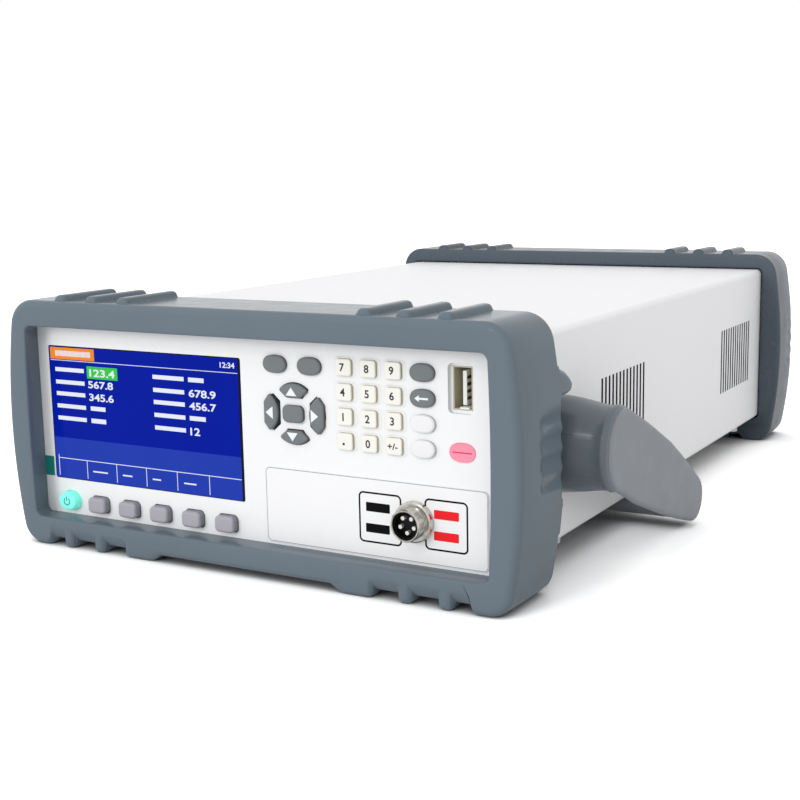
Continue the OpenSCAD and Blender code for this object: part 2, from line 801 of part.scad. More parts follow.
// Nickel-plated socket: flange, outer barrel and the body that passes through the panel
module socket_shell() {
    front = plate_y - barrel_out;
    color([0.78, 0.77, 0.73]) in_place()
        difference() {
            union() {
                rod_y(socket_x, socket_z, barrel_r, front, case_y + 6);
                rod_y(socket_x, socket_z, socket_flange_r, plate_y - socket_flange_t, plate_y);
            }
            rod_y(socket_x, socket_z, barrel_r - barrel_wall, front - 1, case_y + 7);
        }
}

// Insulator that carries the pins, with its keyway at the top
module socket_insert() {
    r = barrel_r - barrel_wall - fit_gap / 2;
    front = plate_y - barrel_out + 1;
    color([0.05, 0.05, 0.05]) in_place()
        difference() {
            rod_y(socket_x, socket_z, r, front, case_y + 7);
            rod_y(socket_x, socket_z, r - 0.5, front - 1, front + 2.6);
            translate([socket_x, 0, socket_z + r])
                block(-0.9, 0.9, front - 1, front + 2.6, -1.2, 1);
            for (i = [0 : pin_count - 1])
                rod_y(socket_x + pin_circle_r * sin(i * 360 / pin_count),
                    socket_z - pin_circle_r * cos(i * 360 / pin_count),
                    pin_r + fit_gap / 2, front, case_y + 8);
        }
}

// Five contact pins
module socket_pins() {
    front = plate_y - barrel_out + 1.8;
    color([0.83, 0.80, 0.68]) in_place()
        for (i = [0 : pin_count - 1])
            rod_y(socket_x + pin_circle_r * sin(i * 360 / pin_count),
                socket_z - pin_circle_r * cos(i * 360 / pin_count),
                pin_r, front, case_y + 10);
}

// Hexagon nut that clamps the socket behind the panel
module socket_nut() {
    color([0.75, 0.74, 0.70]) in_place()
        difference() {
            translate([socket_x, case_y + nut_t, socket_z])
                rotate([90, 0, 0])
                    cylinder(r = barrel_r + 2.2, h = nut_t, $fn = 6);
            rod_y(socket_x, socket_z, barrel_r + fit_gap / 2, case_y - 1, case_y + nut_t + 1);
        }
}

// Upright USB socket: a folded metal shell
module usb_shell() {
    y0 = panel_y + usb_sink;
    color([0.74, 0.74, 0.72]) in_place()
        translate([usb_x, 0, usb_z])
            difference() {
                slab(y0, y0 + usb_depth)
                    square([usb_w, usb_h], center = true);
                slab(y0 - 1, y0 + usb_depth - 1)
                    square([usb_w - 2 * usb_wall, usb_h - 2 * usb_wall], center = true);
            }
}

// Contact tongue inside the USB socket
module usb_tongue() {
    y0 = panel_y + usb_sink + 0.8;
    color([0.93, 0.93, 0.90]) in_place()
        translate([usb_x, 0, usb_z])
            slab(y0, panel_y + usb_sink + usb_depth - 1)
                translate([0.4, 0])
                    square([2, usb_h - 3.4], center = true);
}

// Measuring board with relays, a shielded amplifier, a processor and terminal blocks
module main_board() {
    z = tray_z + standoff_h;
    t = z + board_t;
    x = main_at[0];
    y = main_at[1];
    color([0.10, 0.38, 0.22]) in_place()
        difference() {
            union() {
                block(x, x + main_size[0], y, y + main_size[1], z, t);
                for (i = [0 : 3])
                    block(x + 10 + i * 14, x + 20 + i * 14, y + 14, y + 34, t - eps, t + 11);
                block(x + 70, x + 108, y + 12, y + 52, t - eps, t + 14);
                block(x + 20, x + 48, y + 60, y + 88, t - eps, t + 3);
                block(x + 66, x + 86, y + 70, y + 84, t - eps, t + 3);
                block(x + 8, x + 42, y + 166, y + 178, t - eps, t + 10);
                block(x + 60, x + 104, y + 166, y + 178, t - eps, t + 12);
                for (i = [0 : 3])
                    translate([x + 20 + i * 22, y + 124, t - eps])
                        cylinder(r = 6.5, h = 18);
            }
            for (p = corners(main_at, main_size))
                translate([p[0], p[1], z - 1])
                    cylinder(r = screw_r + 0.2, h = board_t + 2);
        }
}

// Mains power supply with its transformer, capacitors and heat sink
module power_supply() {
    z = tray_z + standoff_h;
    t = z + board_t;
    x = supply_at[0];
    y = supply_at[1];
    color([0.75, 0.62, 0.30]) in_place()
        difference() {
            union() {
                block(x, x + supply_size[0], y, y + supply_size[1], z, t);
                block(x + 16, x + 50, y + 14, y + 46, t - eps, t + 28);
                for (i = [0, 1])
                    translate([x + 22 + i * 22, y + 62, t - eps])
                        cylinder(r = 9, h = 30);
                for (i = [0 : 3])
                    block(x + 14, x + 52, y + 76 + i * 4, y + 78 + i * 4, t - eps, t + 26);
                block(x + 14, x + 52, y + 76, y + 90, t - eps, t + 3);
                block(x + 18, x + 46, y + 98, y + 108, t - eps, t + 11);
            }
            for (p = corners(supply_at, supply_size))
                translate([p[0], p[1], z - 1])
                    cylinder(r = screw_r + 0.2, h = board_t + 2);
        }
}

// Screws of the main board, the supply and the keypad board
module board_screws() {
    z = tray_z + standoff_h + board_t;
    back = board_y + board_t;
    color([0.70, 0.70, 0.71]) in_place() {
        for (p = concat(corners(main_at, main_size), corners(supply_at, supply_size)))
            translate([p[0], p[1], 0]) {
                translate([0, 0, z])
                    cylinder(r = head_r, h = head_h);
                translate([0, 0, z - board_t - 4])
                    cylinder(r = screw_r, h = board_t + 4 + eps);
            }
        for (p = front_holes) {
            rod_y(p[0], p[1], head_r, back, back + head_h);
            rod_y(p[0], p[1], screw_r - 0.35, back - board_t - 4, back + eps);
        }
    }
}

// Rear panel with the cut-outs for the ports and a row of cooling slots
module rear_panel() {
    color([0.88, 0.89, 0.90]) in_place()
        difference() {
            block(-case_half - panel_lap, case_half + panel_lap, rear_y, rear_face,
                foot_h - panel_lap, case_top + panel_lap);
            translate([inlet_x, 0, inlet_z])
                slab(rear_y - 1, rear_face + 1)
                    square([inlet_body_w + 0.4, inlet_body_h + 0.4], center = true);
            for (d = [[serial_x, serial_w, serial_step], [handler_x, handler_w, handler_step]]) {
                translate([d[0], 0, port_z])
                    slab(rear_y - 1, rear_face + 1)
                        rounded_rect(d[1] + 0.6, shell_h + 1, 2);
                for (s = [-1, 1])
                    rod_y(d[0] + s * d[2], port_z, 1.6, rear_y - 1, rear_face + 1);
            }
            rod_y(post_x, post_z, 2.2, rear_y - 1, rear_face + 1);
            for (i = [0 : 9])
                translate([post_x - 10 + i * 4.4, 0, case_mid + 10])
                    slab(rear_y - 1, rear_face + 1)
                        square([2.2, 24], center = true);
        }
}

// Mains inlet: flange, body, plug cavity with three blades, and the slot for the fuse drawer
module mains_inlet() {
    back = rear_face + inlet_flange_t;
    color([0.08, 0.08, 0.09]) in_place()
        translate([inlet_x, 0, inlet_z]) {
            difference() {
                union() {
                    slab(rear_face, back)
                        rounded_rect(inlet_w, inlet_h, 2.5);
                    slab(back - inlet_depth, rear_face + eps)
                        square([inlet_body_w, inlet_body_h], center = true);
                }
                translate([0, 0, cavity_rise])
                    slab(back - cavity_depth, back + 1)
                        rounded_rect(cavity_w, cavity_h, 3);
                translate([0, 0, -drawer_drop])
                    slab(back - drawer_depth - drawer_gap, back + 1)
                        square([drawer_w + 2 * drawer_gap, drawer_h + 2 * drawer_gap], center = true);
            }
            for (x = [-7, 7])
                block(x - 1, x + 1, back - cavity_depth - eps, back - 2,
                    cavity_rise - 5, cavity_rise - 1);
            block(-1, 1, back - cavity_depth - eps, back - 1, cavity_rise - 0.5, cavity_rise + 3.5);
        }
}

// Fuse drawer: a tray with a fuse bay and a finger lip
module fuse_drawer() {
    back = rear_face + inlet_flange_t;
    color([0.13, 0.13, 0.14]) in_place()
        translate([inlet_x, 0, inlet_z - drawer_drop])
            difference() {
                union() {
                    slab(back - drawer_depth, back)
                        square([drawer_w, drawer_h], center = true);
                    block(-4, 4, back - eps, back + 1.2, drawer_h / 2 - 1.4, drawer_h / 2);
                }
                block(-drawer_w / 2 + 1.5, drawer_w / 2 - 1.5, back - drawer_depth + 1.5, back - 2,
                    -drawer_h / 2 + 1.2, drawer_h / 2 + 1);
            }
}

// A D-shaped data socket with its metal shell, flange and two hexagon posts
module data_socket(x, shell_w, post_step) {
    translate([x, 0, port_z]) {
        difference() {
            slab(rear_face, rear_face + 1)
                rounded_rect(2 * post_step + 7, 12.5, 1.5);
            for (s = [-1, 1])
                rod_y(s * post_step, 0, 1.5, rear_face - 1, rear_face + 2);
        }
        slab(rear_face - 10, rear_face + eps)
            rounded_rect(shell_w, shell_h, 1.8);
        hull($fn = 20)
            for (s = [-1, 1]) {
                rod_y(s * (shell_w / 2 - 3.4), 2.2, 2, rear_face + 1 - eps, rear_face + 6.2);
                rod_y(s * (shell_w / 2 - 4.2), -2.2, 2, rear_face + 1 - eps, rear_face + 6.2);
            }
        for (s = [-1, 1]) {
            translate([s * post_step, rear_face + 5.2, 0])
                rotate([90, 0, 0])
                    cylinder(r = 2.6, h = 4.2, $fn = 6);
            rod_y(s * post_step, 0, 1.4, rear_y - 3, rear_face + 1 + eps);
        }
    }
}

module serial_port() {
    color([0.66, 0.67, 0.68]) in_place()
        data_socket(serial_x, serial_w, serial_step);
}

module handler_port() {
    color([0.66, 0.67, 0.68]) in_place()
        data_socket(handler_x, handler_w, handler_step);
}

// Earth stud with a nut on each side of the rear panel and a knurled clamping nut
module earth_post() {
    color([0.80, 0.66, 0.34]) in_place() {
        rod_y(post_x, post_z, 2, rear_y - 5, rear_face + 9.4);
        for (y = [rear_y - 2.4, rear_face])
            translate([post_x, y + 2.4, post_z])
                rotate([90, 0, 0])
                    cylinder(r = 4, h = 2.4, $fn = 6);
        rod_y(post_x, post_z, 4.6, rear_face + 3, rear_face + 7.6);
    }
}

// Screws from below, through the cover's hems into the tray
module cover_screws() {
    color([0.70, 0.70, 0.71]) in_place()
        for (side = [-1, 1], y = cover_screw_y)
            translate([side * cover_screw_x, y, 0]) {
                translate([0, 0, foot_h - head_h])
                    cylinder(r = head_r, h = head_h);
                translate([0, 0, foot_h - eps])
                    cylinder(r = screw_r, h = 2 * sheet_t + 2);
            }
}

// Screws that hold the bumpers from below
module bumper_screws() {
    head_z = foot_h - 5;
    color([0.70, 0.70, 0.71]) in_place()
        for (side = [-1, 1], y = [bumper_screw_y, overall_d - bumper_screw_y])
            translate([side * bumper_screw_x, y, 0]) {
                translate([0, 0, head_z - head_h])
                    cylinder(r = head_r, h = head_h);
                translate([0, 0, head_z - eps])
                    cylinder(r = screw_r, h = 5 + slide_gap);
            }
}

// The two bosses on the case's sides that the handle turns on
module handle_pivots() {
    color([0.60, 0.61, 0.62]) in_place()
        for (side = [0, 1])
            mirror([side, 0, 0])
                translate([case_half, pivot_y, pivot_z])
                    rotate([0, 90, 0]) {
                        cylinder(r = boss_flange_r, h = boss_flange_t);
                        cylinder(r = boss_r, h = boss_len);
                    }
}

// A disc with rounded rims, the arm's section at one place along its length
module arm_disc(y, z, r) {
    translate([arm_x, y, z])
        rotate([0, 90, 0])
            rotate_extrude($fn = 44)
                polygon([
                    [0, 0], [r - 1, 0], [r, 1],
                    [r, arm_t - arm_edge], [r - 0.3 * arm_edge, arm_t - 0.3 * arm_edge],
                    [r - arm_edge, arm_t], [0, arm_t]
                ]);
}

// One handle arm: leaf-shaped arm, drum towards the case, and the blind bore for the boss
module handle_arm() {
    drum_x = case_half + drum_gap;
    difference() {
        union() {
            hull() {
                arm_disc(pivot_y, pivot_z, arm_hub_r);
                arm_disc(pivot_y + 0.565 * (tip_y - pivot_y), pivot_z + 0.545 * (tip_z - pivot_z), belly_r);
                arm_disc(tip_y, tip_z, arm_tip_r);
            }
            translate([drum_x, pivot_y, pivot_z])
                rotate([0, 90, 0]) {
                    cylinder(r1 = drum_r - 1, r2 = drum_r, h = 1);
                    translate([0, 0, 1])
                        cylinder(r1 = drum_r, r2 = arm_hub_r, h = handle_w / 2 - drum_x - 4);
                }
        }
        translate([drum_x - 1, pivot_y, pivot_z])
            rotate([0, 90, 0]) {
                cylinder(r = boss_flange_r + drum_gap, h = 1 + boss_flange_t);
                cylinder(r = boss_r + boss_gap, h = 1 + boss_len);
            }
    }
}

module handle_arm_right() {
    color([0.52, 0.54, 0.57]) in_place()
        handle_arm();
}

module handle_arm_left() {
    color([0.52, 0.54, 0.57]) in_place()
        mirror([1, 0, 0])
            handle_arm();
}

// Flat bar between the arms, with rounded edges
module handle_grip() {
    r = grip_t / 2;
    color([0.36, 0.38, 0.40]) in_place()
        translate([-arm_x, grip_y, grip_z])
            rotate([90, 0, 90])
                linear_extrude(2 * arm_x) {
                    square([grip_w - grip_t, grip_t], center = true);
                    for (s = [-1, 1])
                        translate([s * (grip_w / 2 - r), 0])
                            circle(r = r);
                }
}

front_bumper();
rear_bumper();
top_cover();
bottom_tray();
front_panel();
rear_panel();
display_window();
lcd_module();
keypad_board();
terminal_plate();
result_lamp();
socket_shell();
socket_insert();
socket_pins();
socket_nut();
usb_shell();
usb_tongue();
main_board();
power_supply();
board_screws();
mains_inlet();
fuse_drawer();
serial_port();
handler_port();
earth_post();
cover_screws();
bumper_screws();
handle_pivots();
handle_arm_left();
handle_arm_right();
handle_grip();
for (k = KEYS)
    push_key(k);
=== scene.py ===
import bpy
import bmesh
import math
import numpy as np
from mathutils import Matrix, Vector


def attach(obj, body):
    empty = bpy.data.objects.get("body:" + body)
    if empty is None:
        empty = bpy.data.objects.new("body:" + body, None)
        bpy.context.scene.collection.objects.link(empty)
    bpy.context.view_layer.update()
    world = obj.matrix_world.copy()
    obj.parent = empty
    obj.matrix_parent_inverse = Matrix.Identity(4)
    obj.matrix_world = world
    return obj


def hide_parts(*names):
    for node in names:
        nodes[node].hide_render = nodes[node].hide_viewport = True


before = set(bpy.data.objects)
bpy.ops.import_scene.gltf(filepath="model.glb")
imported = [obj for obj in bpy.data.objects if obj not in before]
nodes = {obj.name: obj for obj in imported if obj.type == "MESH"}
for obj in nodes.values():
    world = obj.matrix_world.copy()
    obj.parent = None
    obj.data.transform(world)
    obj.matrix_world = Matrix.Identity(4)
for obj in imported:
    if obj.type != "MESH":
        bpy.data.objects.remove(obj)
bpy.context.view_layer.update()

turn = 2 * math.pi

# Places are given in millimetres: x to the right of the middle, y to the back from the front
# bumper's face, z up from the table
layout = dict(
    depthShift=180.5, overall=361.0, caseMid=53.7, panelFace=10.0, plateFace=9.5,
)
panelFace = layout["panelFace"]


def toRow(points):
    # millimetres from the front face become metres in the shared frame
    row = np.array(points, dtype=float)
    row[..., 1] -= layout["depthShift"]
    return row * 0.001


def tone(r, g, b):
    # sRGB 0..255 to the linear colour that a shader wants
    v = np.array([r, g, b], dtype=float) / 255
    lin = np.where(v <= 0.04045, v / 12.92, ((v + 0.055) / 1.055) ** 2.4)
    return tuple(float(c) for c in lin)


# the finishes, as settings for one kind of material

def finish(name, colour, spread=0.05, patch=30, rough=(0.40, 0.55), grain=900, bump=0.10,
           depth=0.0001, metal=0.0, specular=0.5, coat=0.0, glow=None, tint=None, clear=0.0):
    # colour drifts in soft patches, roughness in smaller ones, and a fine grain gives the bump
    mat = bpy.data.materials.new(name)
    mat.use_nodes = True
    tree = mat.node_tree
    shader = tree.nodes["Principled BSDF"]
    place = tree.nodes.new("ShaderNodeTexCoord").outputs["Object"]

    def noise(scale, detail=3.0, stretch=None):
        node = tree.nodes.new("ShaderNodeTexNoise")
        node.inputs["Scale"].default_value = scale
        node.inputs["Detail"].default_value = detail
        if stretch:
            mapping = tree.nodes.new("ShaderNodeMapping")
            mapping.inputs["Scale"].default_value = stretch
            tree.links.new(place, mapping.inputs["Vector"])
            tree.links.new(mapping.outputs["Vector"], node.inputs["Vector"])
        else:
            tree.links.new(place, node.inputs["Vector"])
        return node.outputs["Fac"]

    base = np.array(tone(*colour))
    other = np.array(tone(*tint)) if tint else base * (1 + spread)
    mix = tree.nodes.new("ShaderNodeMix")
    mix.data_type = "RGBA"
    mix.inputs[6].default_value = (*np.clip(base * (1 - spread), 0, 1), 1)
    mix.inputs[7].default_value = (*np.clip(other, 0, 1), 1)
    tree.links.new(noise(patch), mix.inputs[0])
    tree.links.new(mix.outputs[2], shader.inputs["Base Color"])

    span = tree.nodes.new("ShaderNodeMapRange")
    span.inputs["From Min"].default_value = 0.3
    span.inputs["From Max"].default_value = 0.7
    span.inputs["To Min"].default_value = rough[0]
    span.inputs["To Max"].default_value = rough[1]
    tree.links.new(noise(patch * 6), span.inputs["Value"])
    tree.links.new(span.outputs["Result"], shader.inputs["Roughness"])

    relief = tree.nodes.new("ShaderNodeBump")
    relief.inputs["Strength"].default_value = bump
    relief.inputs["Distance"].default_value = depth
    tree.links.new(noise(grain, 2.0), relief.inputs["Height"])
    tree.links.new(relief.outputs["Normal"], shader.inputs["Normal"])

    shader.inputs["Metallic"].default_value = metal
    shader.inputs["Specular IOR Level"].default_value = specular
    shader.inputs["Coat Weight"].default_value = coat
    shader.inputs["Coat Roughness"].default_value = 0.08
    shader.inputs["Transmission Weight"].default_value = clear
    if glow:
        shader.inputs["Emission Color"].default_value = (*tone(*glow[0]), 1)
        shader.inputs["Emission Strength"].default_value = glow[1]
    return mat


finishes = dict(
    bumper=finish("bumperPlastic", (101, 113, 122), spread=0.06, patch=18, rough=(0.14, 0.20),
                  grain=1500, bump=0.05, depth=0.00005, specular=0.15),
    # the rear bumper is the same moulding as the front one, drawn darker: painted shade; the neck's mould
    # line uses it too, as painted shade
    bumperDark=finish("rearBumperPaintedShade", (75, 85, 94), spread=0.08, patch=18, rough=(0.20, 0.30),
                      grain=1500, bump=0.08, depth=0.00006, specular=0.3),
    neck=finish("handleNeckPlastic", (94, 103, 110), spread=0.06, patch=16, rough=(0.20, 0.28),
                grain=1500, bump=0.06, depth=0.00006, specular=0.4),
    threadMetal=finish("threadMetal", (160, 156, 144), spread=0.5, patch=420, rough=(0.14, 0.26), metal=1.0,
                       grain=2500, bump=0.05, tint=(250, 248, 240)),
    threadShade=finish("threadShade", (28, 26, 20), spread=0.3, patch=300, rough=(0.3, 0.45), metal=0.8),
    usbMetal=finish("usbMetal", (196, 188, 164), spread=0.1, patch=80, rough=(0.4, 0.55), metal=0.2,
                    specular=0.3),
    darkMetal=finish("darkMetal", (96, 92, 74), spread=0.15, patch=300, rough=(0.3, 0.45), metal=0.8),
    tealFilm=finish("tealFilm", (22, 128, 118), spread=0.08, patch=120, rough=(0.3, 0.4)),
    # near-black strips for the side vent slots: painted shade inside the slots
    darkFilm=finish("darkFilm", (10, 11, 14), spread=0.2, patch=120, rough=(0.8, 0.9), specular=0.1),
    tealInk=finish("tealInk", (14, 120, 112), spread=0.08, patch=200, rough=(0.4, 0.5)),
    handle=finish("handlePlastic", (134, 138, 143), spread=0.05, patch=16, rough=(0.42, 0.54),
                  grain=1500, bump=0.20, depth=0.00012, specular=0.4),
    casePaint=finish("whitePaint", (242, 242, 244), spread=0.015, patch=14, rough=(0.38, 0.46),
                     grain=1100, bump=0.10, depth=0.00015),
    panel=finish("panelPlastic", (234, 235, 236), spread=0.012, patch=20, rough=(0.42, 0.5),
                 grain=1400, bump=0.08, depth=0.0001),
    plate=finish("plateFilm", (235, 235, 236), spread=0.012, patch=24, rough=(0.35, 0.42),
                 grain=1800, bump=0.06, depth=0.00008),
    window=finish("screenWindow", (4, 6, 30), spread=0.3, patch=24, rough=(0.08, 0.12),
                  grain=300, bump=0.01, depth=0.00005, specular=0.15),
    screen=finish("screenModule", (40, 42, 48), spread=0.1, rough=(0.3, 0.5), metal=0.4),
    board=finish("circuitBoard", (20, 92, 52), spread=0.2, patch=60, rough=(0.32, 0.5), bump=0.2),
    supply=finish("supplyBoard", (178, 150, 92), spread=0.15, patch=50, rough=(0.4, 0.6), bump=0.2),
    steel=finish("platedSteel", (196, 198, 200), spread=0.08, patch=60, rough=(0.22, 0.38), metal=1.0,
                 grain=2000, bump=0.06),
    nickel=finish("nickelPlate", (206, 203, 194), spread=0.08, patch=90, rough=(0.16, 0.28), metal=1.0,
                  grain=2500, bump=0.05),
    brass=finish("brassStud", (196, 158, 84), spread=0.1, patch=80, rough=(0.2, 0.35), metal=1.0,
                 grain=2500, bump=0.05),
    pinMetal=finish("pinMetal", (240, 238, 232), spread=0.06, patch=200, rough=(0.2, 0.3), metal=0.6,
                    grain=2500, bump=0.04),
    black=finish("blackInsulator", (13, 13, 14), spread=0.15, patch=50, rough=(0.35, 0.5), bump=0.15,
                 specular=0.2),
    white=finish("whiteInsulator", (228, 228, 224), spread=0.03, patch=50, rough=(0.4, 0.5)),
    softKey=finish("softKeyPlastic", (164, 162, 170), spread=0.04, patch=40, rough=(0.28, 0.36),
                   grain=1600, bump=0.08, specular=0.5),
    darkKey=finish("darkKeyPlastic", (110, 115, 118), spread=0.05, patch=40, rough=(0.34, 0.44),
                   grain=1600, bump=0.08),
    ivoryKey=finish("ivoryKeyPlastic", (234, 233, 225), spread=0.02, patch=40, rough=(0.36, 0.46),
                    grain=1600, bump=0.07),
    clearKey=finish("clearKeyPlastic", (228, 228, 230), spread=0.015, patch=40, rough=(0.28, 0.36),
                    grain=1600, bump=0.06),
    litKey=finish("litKeyPlastic", (120, 226, 208), spread=0.05, patch=60, rough=(0.25, 0.35),
                  grain=1600, bump=0.05, glow=((120, 245, 225), 0.35)),
    lamp=finish("pinkLens", (243, 138, 160), spread=0.04, patch=80, rough=(0.2, 0.3),
                grain=1600, bump=0.04, glow=((255, 120, 150), 0.12)),
    # darker copies of the key colours for the keys' side walls: painted shade on the sides
    ivorySideShade=finish("ivoryKeySideShade", (176, 170, 130), spread=0.05, patch=60, rough=(0.5, 0.6)),
    darkSideShade=finish("darkKeySideShade", (62, 68, 72), spread=0.05, patch=60, rough=(0.4, 0.5)),
    clearSideShade=finish("clearKeySideShade", (178, 176, 178), spread=0.05, patch=60, rough=(0.4, 0.5)),
    softSideShade=finish("softKeySideShade", (132, 130, 140), spread=0.05, patch=60, rough=(0.35, 0.45)),
    ink=finish("printedInk", (40, 40, 44), spread=0.1, patch=200, rough=(0.45, 0.6)),
    paleInk=finish("paleInk", (232, 236, 238), spread=0.04, patch=200, rough=(0.4, 0.5)),
    blackInk=finish("blackInk", (10, 10, 12), spread=0.2, patch=200, rough=(0.5, 0.6), specular=0.08),
    redInk=finish("redInk", (232, 36, 42), spread=0.05, patch=200, rough=(0.5, 0.6), specular=0.1),
    greyInk=finish("greyInk", (150, 150, 154), spread=0.06, patch=200, rough=(0.4, 0.55)),
    pinkInk=finish("pinkInk", (214, 62, 98), spread=0.05, patch=200, rough=(0.4, 0.55)),
)


def glowing(name, colour, strength=1.0, spread=0.06):
    # a lit patch of the screen: its own light drifts a little from place to place
    mat = finish(name, (2, 2, 4), rough=(0.1, 0.16), specular=0.04, bump=0.02)
    tree = mat.node_tree
    shader = tree.nodes["Principled BSDF"]
    node = tree.nodes.new("ShaderNodeTexNoise")
    node.inputs["Scale"].default_value = 45
    tree.links.new(tree.nodes["Texture Coordinate"].outputs["Object"], node.inputs["Vector"])
    mix = tree.nodes.new("ShaderNodeMix")
    mix.data_type = "RGBA"
    base = np.array(tone(*colour))
    mix.inputs[6].default_value = (*np.clip(base * (1 - spread), 0, 1), 1)
    mix.inputs[7].default_value = (*np.clip(base * (1 + spread), 0, 1), 1)
    tree.links.new(node.outputs["Fac"], mix.inputs[0])
    tree.links.new(mix.outputs[2], shader.inputs["Emission Color"])
    shader.inputs["Emission Strength"].default_value = strength
    return mat


finishes.update(
    screenBlue=glowing("screenBlue", (2, 28, 158)),
    screenPale=glowing("screenPaleBlue", (36, 62, 176)),
    screenWhite=glowing("screenWhite", (232, 238, 250)),
    screenOrange=glowing("screenOrange", (240, 140, 40)),
    screenGreen=glowing("screenGreen", (60, 200, 80)),
)
print("finishes made:", len(finishes))


# helpers that make and join meshes

def skin(rings, loop=False):
    # rings: R rings of N points. Neighbours are joined by quads, and each end is closed by a fan
    # to its middle, or the last ring joins the first where loop is set
    r, n = rings.shape[:2]
    index = np.arange(r * n).reshape(r, n)
    rows, follow = (index, np.roll(index, -1, axis=0)) if loop else (index[:-1], index[1:])
    quads = np.stack([rows, np.roll(rows, -1, axis=1), np.roll(follow, -1, axis=1), follow], axis=-1)
    faces = [quads.reshape(-1, 4)]
    points = rings.reshape(-1, 3)
    if not loop:
        points = np.concatenate([points, rings[[0, -1]].mean(axis=1)])
        first, last = index[0], index[-1]
        faces.append(np.stack([np.roll(first, -1), first, np.full(n, r * n)], axis=-1))
        faces.append(np.stack([last, np.roll(last, -1), np.full(n, r * n + 1)], axis=-1))
    return outward(points, faces)


def outward(points, faces):
    # the signed volume of the fans from the origin says whether the faces look out
    volume = 0.0
    for f in faces:
        for k in range(1, f.shape[1] - 1):
            a, b, c = points[f[:, 0]], points[f[:, k]], points[f[:, k + 1]]
            volume += np.einsum("ij,ij->i", a, np.cross(b, c)).sum()
    return points, (faces if volume > 0 else [f[:, ::-1] for f in faces])


def mirrored(shell, axis=0, about=0.0):
    # the same shell on the other side of a plane, with its faces turned back outwards
    points = shell[0].copy()
    points[:, axis] = 2 * about - points[:, axis]
    return points, [f[:, ::-1] for f in shell[1]]


def addPiece(name, shells, material, body, standsFor=(), sharp=38):
    # shells, or pairs of a shell and its material number (one, or one for each face), become one
    # object at the origin
    materials = material if isinstance(material, list) else [material]
    points, loops, sizes, numbers, start = [], [], [], [], 0
    for item in shells:
        shell, number = item if isinstance(item[0], tuple) else (item, 0)
        points.append(shell[0])
        for k, f in enumerate(shell[1]):
            loops.append((f + start).ravel())
            sizes.append(np.full(len(f), f.shape[1]))
            numbers.append(np.full(len(f), number) if isinstance(number, int) else number[k])
        start += len(shell[0])
    loops, sizes, numbers = np.concatenate(loops), np.concatenate(sizes), np.concatenate(numbers)
    mesh = bpy.data.meshes.new(name)
    mesh.vertices.add(start)
    mesh.vertices.foreach_set("co", toRow(np.concatenate(points)).ravel())
    mesh.loops.add(len(loops))
    mesh.loops.foreach_set("vertex_index", loops.astype(np.int32))
    mesh.polygons.add(len(sizes))
    mesh.polygons.foreach_set("loop_start", (np.cumsum(sizes) - sizes).astype(np.int32))
    for m in materials:
        mesh.materials.append(finishes[m])
    mesh.polygons.foreach_set("material_index", numbers.astype(np.int32))
    mesh.update(calc_edges=True)
    mesh.polygons.foreach_set("use_smooth", np.ones(len(sizes), dtype=bool))
    mesh.set_sharp_from_angle(angle=math.radians(sharp))
    mesh.validate()
    piece = bpy.data.objects.new(name, mesh)
    bpy.context.scene.collection.objects.link(piece)
    if standsFor:
        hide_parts(*standsFor)
    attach(piece, body)
    return piece


def softOutline(corners, radii, count=64):
    # the edge of a convex shape made of circles: in each direction the circle that reaches
    # farthest gives its middle, its radius and the direction itself
    angle = np.arange(count) * turn / count
    away = np.stack([np.cos(angle), np.sin(angle)], axis=1)
    corners = np.asarray(corners, dtype=float)
    radii = np.broadcast_to(np.asarray(radii, dtype=float), len(corners))
    best = np.argmax(away @ corners.T + radii, axis=1)
    return corners[best], radii[best], away


def turned(profile, centre, axis, count=64):
    # a profile of (place along the axis, radius) turned about the x or y axis
    along, radius = np.array(profile, dtype=float).T
    angle = np.arange(count) * turn / count
    ring = np.empty((len(along), count, 3))
    ring[..., axis] = along[:, None]
    other = [k for k in range(3) if k != axis]
    ring[..., other[0]] = centre[0] + radius[:, None] * np.cos(angle)
    ring[..., other[1]] = centre[1] + radius[:, None] * np.sin(angle)
    return ring


def boxes(rects, y0, y1):
    # flat plates, one for each (x0, x1, z0, z1), between two depths
    r = np.array(rects, dtype=float)
    x = r[:, [0, 1, 1, 0]]
    z = r[:, [2, 2, 3, 3]]
    front = np.stack([x, np.full_like(x, y0), z], axis=-1)
    back = np.stack([x, np.full_like(x, y1), z], axis=-1)
    points = np.concatenate([front, back], axis=1).reshape(-1, 3)
    cell = np.array([[0, 1, 2, 3], [7, 6, 5, 4], [0, 4, 5, 1], [1, 5, 6, 2], [2, 6, 7, 3], [3, 7, 4, 0]])
    faces = (cell[None] + 8 * np.arange(len(r))[:, None, None]).reshape(-1, 4)
    return points, [faces]


def prism(corners, y0, y1):
    # a flat shape with its corners given counterclockwise as seen from the front
    c = np.array(corners, dtype=float)
    n = len(c)
    points = np.concatenate([np.insert(c, 1, y0, axis=1), np.insert(c, 1, y1, axis=1)])
    low = np.arange(n)
    sides = np.stack([low, low + n, np.roll(low, -1) + n, np.roll(low, -1)], axis=-1)
    return outward(points, [low[None, :], (low + n)[None, ::-1], sides])


def band(centre, inner, outer, start, stop, y0, y1, count=40):
    # an arc with a rectangular section, from one angle to another in degrees
    angle = np.radians(np.linspace(start, stop, count))
    rings = np.empty((count, 4, 3))
    for k, (r, y) in enumerate([(inner, y0), (outer, y0), (outer, y1), (inner, y1)]):
        rings[:, k] = np.stack([centre[0] + r * np.cos(angle), np.full(count, y),
                                centre[1] + r * np.sin(angle)], axis=1)
    return skin(rings)


